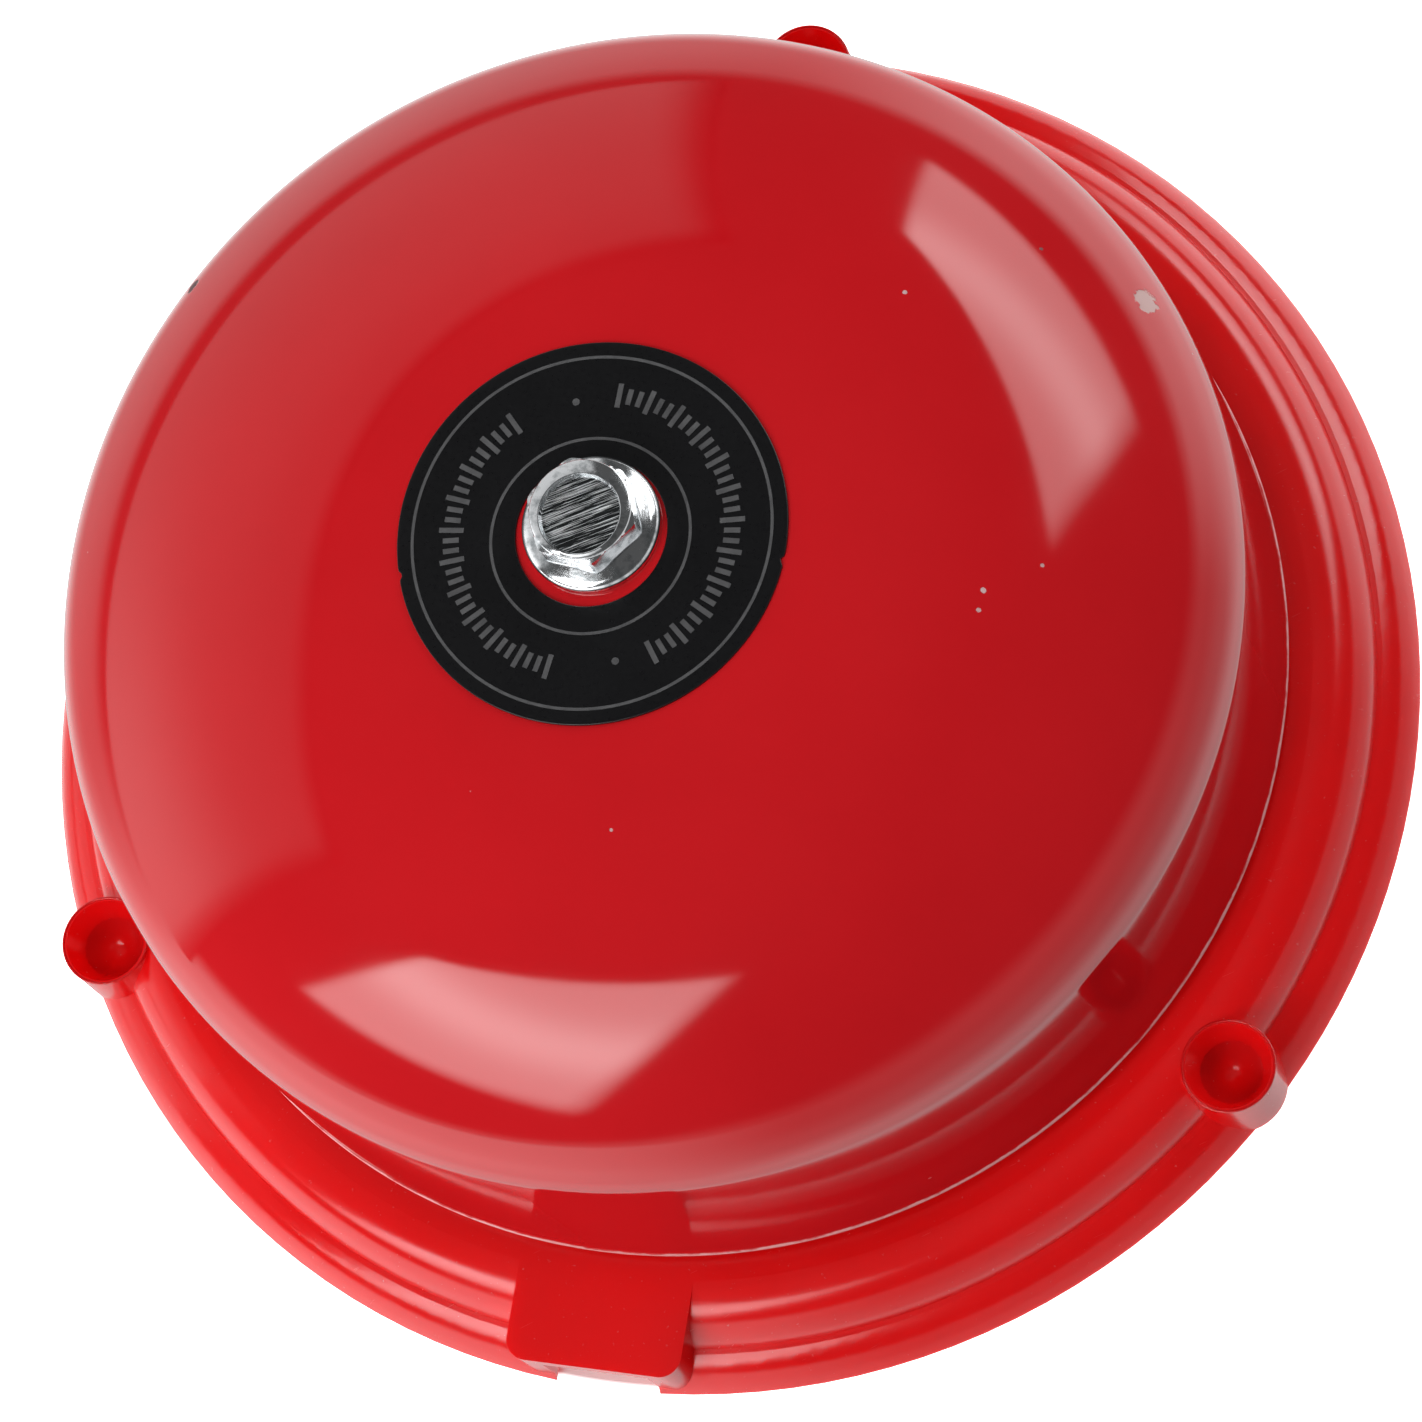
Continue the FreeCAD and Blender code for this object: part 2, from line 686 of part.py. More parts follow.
def make_gong_bolt():
    """A hexagon flange bolt: round flange, cone, chamfered hexagon with a sunk top, and plain shank."""
    body = new_body("gong_bolt")
    turned = new_sketch(body, "bolt_turned", "XZ_Plane")
    base = "gong_top_height"
    cone_base = "gong_top_height + bolt_flange_height"
    cone_top = "gong_top_height + bolt_flange_height + bolt_cone_height"
    bolt_end = "gong_top_height - bolt_length"
    add_polygon(turned, [
        ("0", bolt_end), ("bolt_shank_radius", bolt_end), ("bolt_shank_radius", base),
        ("bolt_flange_radius", base), ("bolt_flange_radius", cone_base),
        ("bolt_cone_top_radius", cone_top), ("0", cone_top),
    ])
    revolve(body, turned)
    hexagon = new_sketch(body, "bolt_hexagon", "XY_Plane", base)
    corners = [(f"bolt_across_flats / sqrt(3) * cos({60 * n} + bolt_turn)",
                f"bolt_across_flats / sqrt(3) * sin({60 * n} + bolt_turn)") for n in range(6)]
    add_polygon(hexagon, corners)
    pad(body, hexagon, "bolt_head_height")
    chamfer = new_sketch(body, "bolt_chamfer", "XZ_Plane")
    head_top = "gong_top_height + bolt_head_height"
    drop = "(bolt_flange_radius - bolt_chamfer_radius) * tan(bolt_chamfer_angle)"
    add_polygon(chamfer, [
        ("bolt_chamfer_radius", head_top), ("bolt_flange_radius", head_top),
        ("bolt_flange_radius", f"{head_top} - {drop}"),
    ])
    revolve(body, chamfer, "PartDesign::Groove")
    recess = new_sketch(body, "bolt_recess", "XY_Plane", head_top)
    add_circle(recess, "0", "0", "bolt_recess_radius")
    pocket(body, recess, "bolt_recess_depth")


def make_gong_stack():
    """What the bolt passes on its way down: steel spacer, fibre washer and brass insert."""
    spacer_base = "gong_top_height - gong_thickness - spacer_height"
    finish_node(tube("spacer", "spacer_radius", "gong_hole_radius", "spacer_height",
                     ("0", "0", spacer_base)), "gong_spacer")
    finish_node(tube("fibre", "fibre_radius", "gong_hole_radius", f"{spacer_base} - post_height",
                     ("0", "0", "post_height")), "fibre_washer")
    finish_node(tube("insert", "insert_radius", "insert_bore_radius", "insert_length",
                     ("0", "0", "post_height - insert_length")), "threaded_insert")


# ---------------------------------------------------------------- screws

def screw(name, circle, angle, seat, shank_radius):
    """A slotted pan-head screw driven upwards: its head hangs below the seat height."""
    x, y = around(circle, angle)
    foot = f"{seat} - screw_head_height"
    head = cylinder(f"{name}_head", "screw_head_radius", "screw_head_height", (x, y, foot))
    shank = cylinder(f"{name}_shank", shank_radius, "screw_length", (x, y, seat))
    slot = slot_box(f"{name}_slot", (x, y, foot), "screw_head_radius + cut_margin",
                    "screw_slot_width", "-cut_margin", "screw_slot_depth")
    return without(name, joined(f"{name}_blank", head, shank), slot)


def slot_box(name, foot, reach, width, below, above):
    """The straight cut of a slotted screw, along X, from below to above the height of foot."""
    x, y, z = foot
    return box(name, (f"{x} - ({reach})", f"{y} - {width} / 2", f"{z} + ({below})"),
               (f"{x} + ({reach})", f"{y} + {width} / 2", f"{z} + ({above})"))


def make_screws():
    chassis = [screw(f"chassis_screw_{n}", "pillar_circle_radius", angle, "chassis_height",
                     "chassis_screw_radius")
               for n, angle in enumerate(PILLAR_ANGLES)]
    finish_node(group("chassis_screw_set", *chassis), "chassis_screws")
    cover = [screw(f"cover_screw_{n}", "cover_boss_circle_radius", angle, "cover_bottom",
                   "cover_screw_radius")
             for n, angle in enumerate(LUG_ANGLES)]
    finish_node(group("cover_screw_set", *cover), "back_cover_screws")


# ---------------------------------------------------------------- chassis and back cover

def make_chassis_plate():
    """The steel plate that carries the motor, with one ear bent up to guide the striker's tail."""
    body = new_body("chassis_plate")
    disc = new_sketch(body, "chassis_disc", "XY_Plane", "chassis_height")
    add_circle(disc, "0", "0", "chassis_radius")
    pad(body, disc, "sheet_thickness")
    trim = new_sketch(body, "chassis_trim", "XY_Plane", "chassis_height")
    beyond = "-chassis_radius - cut_margin"
    add_polygon(trim, [(beyond, "-chassis_radius"), ("-ear_face", "-chassis_radius"),
                       ("-ear_face", "chassis_radius"), (beyond, "chassis_radius")])
    pocket(body, trim, "sheet_thickness", reverse=True)
    ear = new_sketch(body, "chassis_ear", "XY_Plane", "chassis_height")
    add_polygon(ear, [("-ear_face", "-ear_half_width"), ("-ear_face + sheet_thickness", "-ear_half_width"),
                      ("-ear_face + sheet_thickness", "ear_half_width"), ("-ear_face", "ear_half_width")])
    pad(body, ear, "ear_top - chassis_height")
    holes = new_sketch(body, "chassis_holes", "XY_Plane", "chassis_height")
    add_circle(holes, "0", "0", "nose_radius + nose_clearance")
    add_circles_at(holes, "pillar_circle_radius", PILLAR_ANGLES, "screw_hole_radius")
    pocket(body, holes, "sheet_thickness", reverse=True)
    seats = new_sketch(body, "motor_screw_seats", "XY_Plane", "chassis_height + sheet_thickness")
    for angle in MOTOR_SCREW_ANGLES:
        add_circle(seats, *around("motor_screw_circle", angle), "motor_screw_head_radius")
    pocket(body, seats, "sheet_thickness", "-motor_screw_seat_angle")
    guide = new_sketch(body, "tail_guide", "YZ_Plane")
    add_circle(guide, "0", "striker_axis_height", "guide_rod_radius + bush_clearance")
    pocket(body, guide, "chassis_radius")


def make_back_cover():
    """The sheet steel disc that closes the tower, notched where the leads come in."""
    body = new_body("back_cover")
    disc = new_sketch(body, "cover_disc", "XY_Plane", "cover_bottom")
    add_circle(disc, "0", "0", "cover_radius")
    add_circles_at(disc, "cover_boss_circle_radius", LUG_ANGLES, "screw_hole_radius")
    pad(body, disc, "cover_thickness")
    notch = new_sketch(body, "cover_notch", "XY_Plane", "cover_bottom")
    add_polygon(notch, rectangle("cable_width / 2", "-cover_radius - cut_margin",
                                 "-cover_radius + cover_notch_depth"))
    pocket(body, notch, "cover_thickness", reverse=True)


# ---------------------------------------------------------------- motor

def make_motor_shell():
    can_bottom = "motor_bottom + cap_height"
    wall = cylinder("can_outer", "motor_radius", f"chassis_height - ({can_bottom})", ("0", "0", can_bottom))
    nose = cylinder("can_nose", "nose_radius", "nose_height", ("0", "0", "chassis_height"))
    room = cylinder("can_room", "motor_radius - can_wall",
                    f"chassis_height - can_wall - ({can_bottom})", ("0", "0", can_bottom))
    bore = cylinder("can_bore", "bearing_radius", "can_wall + nose_height",
                    ("0", "0", "chassis_height - can_wall"))
    screw_holes = [
        cylinder(f"can_screw_hole_{angle}", "motor_screw_radius", "can_wall",
                 (*around("motor_screw_circle", angle), "chassis_height - can_wall"))
        for angle in MOTOR_SCREW_ANGLES]
    can = without("can", joined("can_blank", wall, nose), room, bore, *screw_holes)
    finish_node(can, "motor_can")
    cap = cylinder("cap_disc", "motor_radius", "cap_height", ("0", "0", "motor_bottom"))
    pit = cylinder("cap_pit", "bearing_radius", "cap_height - bearing_floor",
                   ("0", "0", "motor_bottom + bearing_floor"))
    slots = [tab_box(f"cap_slot_{side}", side, "core_radius") for side in (-1, 1)]
    finish_node(without("cap", cap, pit, *slots), "motor_end_cap")
    tabs = [tab_box(f"motor_tab_{side}", side, "core_radius") for side in (-1, 1)]
    finish_node(group("motor_tabs", *tabs), "motor_terminals")


def tab_box(name, side, start):
    """A flat solder tab that leaves the end cap towards +Y."""
    centre = f"{side} * tab_spacing / 2"
    return box(name, (f"{centre} - tab_width / 2", start, "tab_height"),
               (f"{centre} + tab_width / 2", "tab_end", "tab_height + tab_thickness"))


def make_motor_bearings():
    lower = tube("lower_bearing", "bearing_radius", "shaft_radius + bearing_clearance",
                 "cap_height - bearing_floor", ("0", "0", "motor_bottom + bearing_floor"))
    upper = tube("upper_bearing", "bearing_radius", "shaft_radius + bearing_clearance",
                 "can_wall + nose_height", ("0", "0", "chassis_height - can_wall"))
    finish_node(group("bearing_pair", lower, upper), "motor_bearings")


def make_magnets():
    """Two arc magnets inside the can, facing each other along X."""
    ring = tube("magnet_ring", "motor_radius - can_wall", "magnet_inner_radius", "magnet_length",
                ("0", "0", "magnet_bottom"))
    gap = box("magnet_gap", ("-magnet_gap_width / 2", "-motor_radius", "magnet_bottom - cut_margin"),
              ("magnet_gap_width / 2", "motor_radius", "magnet_bottom + magnet_length + cut_margin"))
    finish_node(without("magnet_pair", ring, gap), "motor_magnets")


def make_rotor():
    """The turning parts: shaft, three-pole core, its coils and the commutator."""
    finish_node(cylinder("shaft", "shaft_radius", "shaft_top - shaft_bottom", ("0", "0", "shaft_bottom")),
                "motor_shaft")
    shoes = tube("pole_ring", "core_radius", "core_radius - pole_shoe_thickness", "core_length",
                 ("0", "0", "core_bottom"))
    gaps = []
    necks = []
    coils = []
    for angle in POLE_ANGLES:
        gaps.append(radial_box(f"pole_gap_{angle:.0f}", angle + POLE_HALF_PITCH, "hub_radius + cut_margin",
                               "core_radius + cut_margin", "pole_gap_width", "core_bottom - cut_margin",
                               "core_bottom + core_length + cut_margin"))
        necks.append(radial_box(f"pole_neck_{angle:.0f}", angle, "0", "core_radius - pole_shoe_thickness / 2",
                                "pole_neck_width", "core_bottom", "core_bottom + core_length"))
        coils.append(coil(f"coil_{angle:.0f}", angle))
    hub = cylinder("core_hub", "hub_radius", "core_length", ("0", "0", "core_bottom"))
    bore = cylinder("core_bore", "shaft_radius", "core_length", ("0", "0", "core_bottom"))
    core = without("core", joined("core_blank", without("pole_shoes", shoes, *gaps), hub, *necks), bore)
    finish_node(core, "rotor_core")
    finish_node(group("coil_set", *coils), "rotor_windings")
    drum = tube("commutator_drum", "commutator_radius", "shaft_radius", "commutator_length",
                ("0", "0", "commutator_bottom"))
    slits = [radial_box(f"commutator_slit_{angle:.0f}", angle + POLE_HALF_PITCH,
                        "shaft_radius + commutator_floor", "commutator_radius + cut_margin",
                        "commutator_slit_width", "commutator_bottom - cut_margin",
                        "commutator_bottom + commutator_length + cut_margin") for angle in POLE_ANGLES]
    finish_node(without("commutator_cut", drum, *slits), "motor_commutator")


def radial_box(name, angle, inner, outer, width, low, high):
    """A box that points away from the axis at an angle, in degrees."""
    thing = doc.addObject("Part::Box", name)
    bind(thing, "Length", f"({outer}) - ({inner})")
    bind(thing, "Width", width)
    bind(thing, "Height", f"({high}) - ({low})")
    turn = Rotation(Vector(0, 0, 1), angle)
    corner = turn.multVec(Vector(size(inner), -size(width) / 2, size(low)))
    thing.Placement = Placement(corner, turn)
    return thing


def coil(name, angle):
    """One coil round a pole neck, standing a little above and below the core."""
    outer = radial_box(f"{name}_outer", angle, "hub_radius + coil_hub_gap",
                       "core_radius - pole_shoe_thickness - coil_shoe_gap",
                       "pole_neck_width + 2 * coil_thickness", "core_bottom - coil_overhang",
                       "core_bottom + core_length + coil_overhang")
    window = radial_box(f"{name}_window", angle, "hub_radius", "core_radius",
                        "pole_neck_width", "core_bottom", "core_bottom + core_length")
    sides = [radial_box(f"{name}_clear_{side}", angle + side * POLE_HALF_PITCH, "0", "core_radius",
                        "coil_side_gap", "core_bottom - 2 * coil_overhang",
                        "core_bottom + core_length + 2 * coil_overhang") for side in (-1, 1)]
    return without(name, outer, window, *sides)


def make_brushes():
    """Two carbon brushes on leaf springs, one each side of the commutator."""
    parts = []
    near = "(commutator_radius + brush_gap)"
    far = "(commutator_radius + brush_gap + brush_length)"
    back = "(commutator_radius + brush_gap + brush_length + leaf_thickness)"
    top = "commutator_bottom + commutator_length - brush_gap"
    for side, word in ((-1, "left"), (1, "right")):
        carbon = box(f"brush_{word}",
                     (f"min({side} * {near}; {side} * {far})", "-brush_half_width",
                      "commutator_bottom + brush_gap"),
                     (f"max({side} * {near}; {side} * {far})", "brush_half_width", top))
        leaf = box(f"leaf_{word}",
                   (f"min({side} * {far}; {side} * {back})", "-leaf_start", "motor_bottom + cap_height"),
                   (f"max({side} * {far}; {side} * {back})", "leaf_end", top))
        parts.append(joined(f"brush_arm_{word}", carbon, leaf))
    finish_node(group("brush_pair", *parts), "motor_brushes")


def make_motor_screws():
    """Two countersunk screws that hold the can to the chassis plate."""
    seat = "chassis_height + sheet_thickness"
    parts = []
    for angle in MOTOR_SCREW_ANGLES:
        x, y = around("motor_screw_circle", angle)
        head = cone(f"motor_screw_head_{angle}", "motor_screw_radius",
                    "motor_screw_head_radius - motor_screw_clearance", "sheet_thickness",
                    (x, y, "chassis_height"))
        shank = cylinder(f"motor_screw_shank_{angle}", "motor_screw_radius",
                         "motor_screw_length - sheet_thickness", (x, y, f"{seat} - motor_screw_length"))
        slot = slot_box(f"motor_screw_slot_{angle}", (x, y, seat), "motor_screw_head_radius",
                        "motor_screw_slot_width", "-motor_screw_slot_depth", "cut_margin")
        parts.append(without(f"motor_screw_{angle}", joined(f"motor_screw_blank_{angle}", head, shank), slot))
    finish_node(group("motor_screw_pair", *parts), "motor_screws")


# ---------------------------------------------------------------- cam and striker

def snail_point(turned):
    """A point of the cam's edge, where the roller's centre has been lifted by a turn in degrees.

    The roller's centre runs along an Archimedean spiral, so the lift is even; the edge is that
    spiral moved in by the roller's radius and the gap, square to the spiral.
    """
    rise = size("striker_travel") / math.radians(size("cam_lift_angle"))
    reach = size("follower_reach") + rise * math.radians(turned)
    heading = math.radians(180.0 - turned)
    outward = Vector(math.cos(heading), math.sin(heading), 0)
    along = Vector(math.sin(heading), -math.cos(heading), 0)
    normal = outward * reach - along * rise
    normal.normalize()
    inset = size("roller_radius") + size("cam_gap")
    return outward * reach - normal * inset


def make_snail_cam():
    """The drop cam: an even rise round most of a turn, a straight drop, and a round hub below."""
    low = -size("cam_lead_angle")
    high = size("cam_lift_angle") + size("cam_lead_angle")
    rise_points = [snail_point(low + (high - low) * n / CAM_STEPS) for n in range(CAM_STEPS + 1)]
    rise = Part.BSplineCurve()
    rise.interpolate(rise_points)
    drop_foot = Vector(rise_points[-1])
    drop_foot.normalize()
    drop_foot = drop_foot * rise_points[0].Length
    drop = Part.LineSegment(rise_points[-1], drop_foot)
    middle = drop_foot + rise_points[0]
    middle.normalize()
    middle = middle * rise_points[0].Length
    rest = Part.Arc(drop_foot, middle, rise_points[0])
    edge = Part.Wire([rise.toShape(), drop.toShape(), rest.toShape()])
    thickness = size("cam_thickness")
    hub_height = size("cam_hub_height")
    plate = Part.Face(edge).extrude(Vector(0, 0, thickness))
    hub = Part.makeCylinder(size("cam_hub_radius"), hub_height, Vector(0, 0, -hub_height))
    bore = Part.makeCylinder(size("shaft_radius"), thickness + hub_height, Vector(0, 0, -hub_height))
    cam = doc.addObject("Part::Feature", "snail_cam")
    cam.Shape = plate.fuse(hub).cut(bore).removeSplitter()
    cam.Placement = Placement(Vector(0, 0, size("cam_bottom")), Rotation())
    finish_node(cam, "snail_cam")


def make_slider():
    """The moulded slider over the cam: it holds the striker rod, the tail rod and the follower pin."""
    body = new_body("striker_slider")
    block = new_sketch(body, "slider_block", "XY_Plane", "slider_bottom")
    add_polygon(block, [("-slider_rear", "-slider_half_width"), ("slider_front", "-slider_half_width"),
                        ("slider_front", "slider_half_width"), ("-slider_rear", "slider_half_width")])
    pad(body, block, "slider_top - slider_bottom")
    corners = [(x, y) for x in (-size("slider_rear"), size("slider_front"))
               for y in (-size("slider_half_width"), size("slider_half_width"))]
    round_edges(body, lambda edge: is_upright_at(edge, corners), "slider_corner")
    relief = new_sketch(body, "slider_relief", "XY_Plane", "slider_top")
    add_polygon(relief, [("-slider_relief_rear", "-slider_relief_half_width"),
                         ("slider_relief_front", "-slider_relief_half_width"),
                         ("slider_relief_front", "slider_relief_half_width"),
                         ("-slider_relief_rear", "slider_relief_half_width")])
    pocket(body, relief, "slider_top - slider_relief_floor")
    front = new_sketch(body, "rod_socket", "YZ_Plane", "rod_root")
    add_circle(front, "0", "striker_axis_height", "rod_radius")
    pocket(body, front, "slider_front", reverse=True)
    rear = new_sketch(body, "tail_socket", "YZ_Plane", "-guide_rod_root")
    add_circle(rear, "0", "striker_axis_height", "guide_rod_radius")
    pocket(body, rear, "slider_rear")
    pin_hole = new_sketch(body, "pin_hole", "XY_Plane", "slider_bottom")
    add_circle(pin_hole, "-follower_reach", "0", "pin_radius")
    pocket(body, pin_hole, "pin_embed", reverse=True)


def make_striker():
    """The rods and tip that slide with the slider, and the follower pin under it."""
    axis = "striker_axis_height"
    finish_node(cylinder("rod", "rod_radius", "rod_tip - rod_root", ("rod_root", "0", axis), "+X"),
                "striker_rod")
    finish_node(cylinder("tail", "guide_rod_radius", "guide_rod_end - guide_rod_root",
                         ("-guide_rod_root", "0", axis), "-X"), "tail_rod")
    barrel = cylinder("tip_barrel", "tip_radius", "tip_front - tip_rear", ("tip_rear", "0", axis), "+X")
    nose = doc.addObject("Part::Sphere", "tip_nose")
    bind(nose, "Radius", "tip_nose_radius")
    place(nose, ("tip_front - tip_nose_radius", "0", axis))
    shank = cylinder("tip_shank", "tip_radius", "tip_front - tip_rear - tip_nose_radius",
                     ("tip_rear", "0", axis), "+X")
    socket = cylinder("tip_socket", "rod_radius", "rod_tip - tip_rear", ("tip_rear", "0", axis), "+X")
    rounded = joined("tip_rounded", overlap("tip_dome", barrel, nose), shank)
    finish_node(without("tip", rounded, socket), "striker_tip")
    pin_length = "slider_bottom + pin_embed - roller_bottom + pin_head_height"
    pin = cylinder("pin_body", "pin_radius", pin_length,
                   ("-follower_reach", "0", "roller_bottom - pin_head_height"))
    head = cylinder("pin_head", "pin_head_radius", "pin_head_height - pin_head_gap",
                    ("-follower_reach", "0", "roller_bottom - pin_head_height"))
    finish_node(joined("pin", pin, head), "follower_pin")
    finish_node(tube("roller", "roller_radius", "pin_radius + roller_clearance", "roller_height",
                     ("-follower_reach", "0", "roller_bottom")), "follower_roller")


def make_rod_bush():
    """The flanged bush pressed into the tower's wall for the striker rod."""
    axis = "striker_axis_height"
    sleeve = cylinder("bush_sleeve", "bush_radius", "bush_flange_face - bush_inner_face",
                      ("bush_inner_face", "0", axis), "+X")
    flange = cylinder("bush_flange", "bush_flange_radius", "bush_flange_thickness",
                      ("bush_flange_face", "0", axis), "+X")
    bore = cylinder("bush_bore", "rod_radius + bush_clearance",
                    "bush_flange_face + bush_flange_thickness - bush_inner_face",
                    ("bush_inner_face", "0", axis), "+X")
    finish_node(without("bush", joined("bush_blank", sleeve, flange), bore), "rod_bush")


def make_striker_spring():
    """The compression spring on the tail rod, between the chassis ear and the slider."""
    body = new_body("striker_spring")
    wire = new_sketch(body, "spring_wire", "XZ_Plane")
    add_circle(wire, "spring_mean_radius", "0", "spring_wire_radius")
    coil_feature = body.newObject("PartDesign::AdditiveHelix", "spring_coil")
    coil_feature.Profile = wire
    coil_feature.ReferenceAxis = (wire, ["V_Axis"])
    coil_feature.Mode = "height-turns-growth"
    room = "ear_face - sheet_thickness - slider_rear"
    bind(coil_feature, "Height", f"{room} - 2 * spring_end_gap - 2 * spring_wire_radius")
    bind(coil_feature, "Turns", "spring_turns")
    doc.recompute()
    place(body, ("-slider_rear - spring_end_gap - spring_wire_radius", "0", "striker_axis_height"), "-X")


# ---------------------------------------------------------------- wiring

def make_terminal_block():
    """The two-way block under the chassis plate, open towards the motor and towards the outlet."""
    top = "chassis_height"
    body_box = box("block_body", ("-block_width / 2", "-block_front - block_depth", f"{top} - block_height"),
                   ("block_width / 2", "-block_front", top))
    cuts = []
    screws = []
    for side in (-1, 1):
        x = f"{side} * block_pitch / 2"
        cuts.append(cylinder(f"block_entry_{side}", "block_entry_radius", "block_depth",
                             (x, "-block_front - block_depth", "block_entry_height"), "+Y"))
        middle = "-block_front - block_depth / 2"
        cuts.append(cylinder(f"block_well_{side}", "block_screw_radius + block_screw_clearance",
                             "block_entry_height - block_well_floor", (x, middle, "block_well_floor")))
        screws.append(terminal_screw(f"block_screw_{side}", x, middle))
    finish_node(without("block", body_box, *cuts), "terminal_block")
    finish_node(group("block_screws", *screws), "terminal_screws")


def terminal_screw(name, x, y):
    """A slotted grub screw that clamps the lead's end from below."""
    foot = "block_screw_foot"
    body_part = cylinder(f"{name}_body", "block_screw_radius", f"block_entry_height - lead_radius - {foot}",
                         (x, y, foot))
    slot = slot_box(f"{name}_slot", (x, y, foot), "block_screw_radius + cut_margin",
                    "block_screw_slot_width", "-cut_margin", "block_screw_slot_depth")
    return without(name, body_part, slot)


def wire_path(points, fraction=0.45):
    """Straight runs joined by tangent arcs, each as large as 0.45 of its shorter run allows."""
    edges = []
    start = points[0]
    for before, corner, after in zip(points, points[1:], points[2:]):
        back = before - corner
        ahead = after - corner
        reach = fraction * min(back.Length, ahead.Length)
        back.normalize()
        ahead.normalize()
        half_turn = (math.pi - back.getAngle(ahead)) / 2
        radius = reach / math.tan(half_turn)
        enter = corner + back * reach
        leave = corner + ahead * reach
        bisector = back + ahead
        bisector.normalize()
        middle = corner + bisector * (radius / math.cos(half_turn) - radius)
        edges.append(Part.LineSegment(start, enter).toShape())
        edges.append(Part.Arc(enter, middle, leave).toShape())
        start = leave
    edges.append(Part.LineSegment(start, points[-1]).toShape())
    return Part.Wire(edges)


def wire_solid(points, radius):
    """A round wire along a path, whose volume must be its section times its length."""
    path = wire_path(points)
    heading = points[1] - points[0]
    ring = Part.Wire([Part.Circle(points[0], heading, radius).toShape()])
    solid = path.makePipeShell([ring], True, False)
    expected = math.pi * radius ** 2 * path.Length
    if abs(solid.Volume - expected) > WIRE_VOLUME_TOLERANCE * expected:
        raise RuntimeError("a wire's volume doesn't match its length")
    return solid


def lead_points(side):
    """The route of one lead, from its motor tab round the motor to the terminal block."""
    tab_top = size("tab_height + tab_thickness + lead_radius + lead_gap")
    x_tab = size("tab_spacing") / 2
    entry = size("block_entry_height")
    at_tab = [(x_tab + out, y, tab_top + up) for out, y, up in LEAD_FROM_TAB]
    at_block = [(x, y, entry) for x, y in (LEAD_TURN_IN, (size("block_pitch") / 2, LEAD_END_Y))]
    return [Vector(side * x, y, z) for x, y, z in at_tab + list(LEAD_ROUND_MOTOR) + at_block]


def make_leads():
    """The red lead, split round its diode, and the black lead."""
    radius = size("lead_radius")
    red = lead_points(1)
    half = size("diode_length") / 2
    centre = (red[3] + red[4]) * 0.5
    run = red[4] - red[3]
    run.normalize()
    from_tab = wire_solid(red[:4] + [centre - run * half], radius)
    to_block = wire_solid([centre + run * half] + red[4:], radius)
    black = wire_solid(lead_points(-1), radius)
    for name, shape in (("lead_red", Part.makeCompound([from_tab, to_block])), ("lead_black", black)):
        lead = doc.addObject("Part::Feature", name)
        lead.Shape = shape
        finish_node(lead, name)
    diode = doc.addObject("Part::Feature", "polarity_diode")
    diode.Shape = Part.makeCylinder(size("diode_radius"), size("diode_length"), centre - run * half, run)
    finish_node(diode, "polarity_diode")


def make_capacitor():
    """The disc capacitor soldered across the motor's tabs."""
    foot = "tab_height + tab_thickness"
    disc = cylinder("capacitor_disc", "capacitor_radius", "capacitor_thickness",
                    ("0", "tab_end + capacitor_standoff",
                     f"{foot} + capacitor_radius + capacitor_lift"), "+Y")
    legs = []
    for side in (-1, 1):
        x = f"{side} * tab_spacing / 4"
        y = "tab_end + capacitor_standoff + capacitor_thickness / 2"
        legs.append(cylinder(f"capacitor_leg_{side}", "leg_radius", "leg_length",
                             (x, y, f"{foot} + leg_radius")))
    finish_node(joined("capacitor", disc, *legs), "suppression_capacitor")


# ---------------------------------------------------------------- build, check and write

def build():
    fill_sheet()
    make_base_housing()
    make_gong()
    make_gong_label()
    make_gong_bolt()
    make_gong_stack()
    make_chassis_plate()
    make_screws()
    make_back_cover()
    make_motor_shell()
    make_motor_bearings()
    make_magnets()
    make_rotor()
    make_brushes()
    make_motor_screws()
    make_snail_cam()
    make_slider()
    make_striker()
    make_rod_bush()
    make_striker_spring()
    make_terminal_block()
    make_leads()
    make_capacitor()
    doc.recompute()


def check():
    for thing in doc.Objects:
        if "Invalid" in thing.State or "Error" in thing.State:
            raise RuntimeError(f"{thing.Name} failed: {thing.State}")
    for node in nodes:
        if node.Shape.isNull() or not node.Shape.isValid() or not node.Shape.Solids:
            raise RuntimeError(f"{node.Label} has no valid solid")


def write():
    os.makedirs("parts", exist_ok=True)
    for node in nodes:
        node.Shape.exportStep(f"parts/{node.Label}.step")
        print(f"{node.Label}: {len(node.Shape.Solids)} solids, {node.Shape.Volume:.1f} mm3")


build()
check()
write()
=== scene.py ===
"""Fire alarm bell: fine pieces, materials, floor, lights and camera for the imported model.

Frame: the bell's axis is +Z, the wall plane is z = 0, the cable outlet is at -Y and the striker points
along +X. Lengths in the helpers are metres; tables marked mm are millimetres.
"""
import math

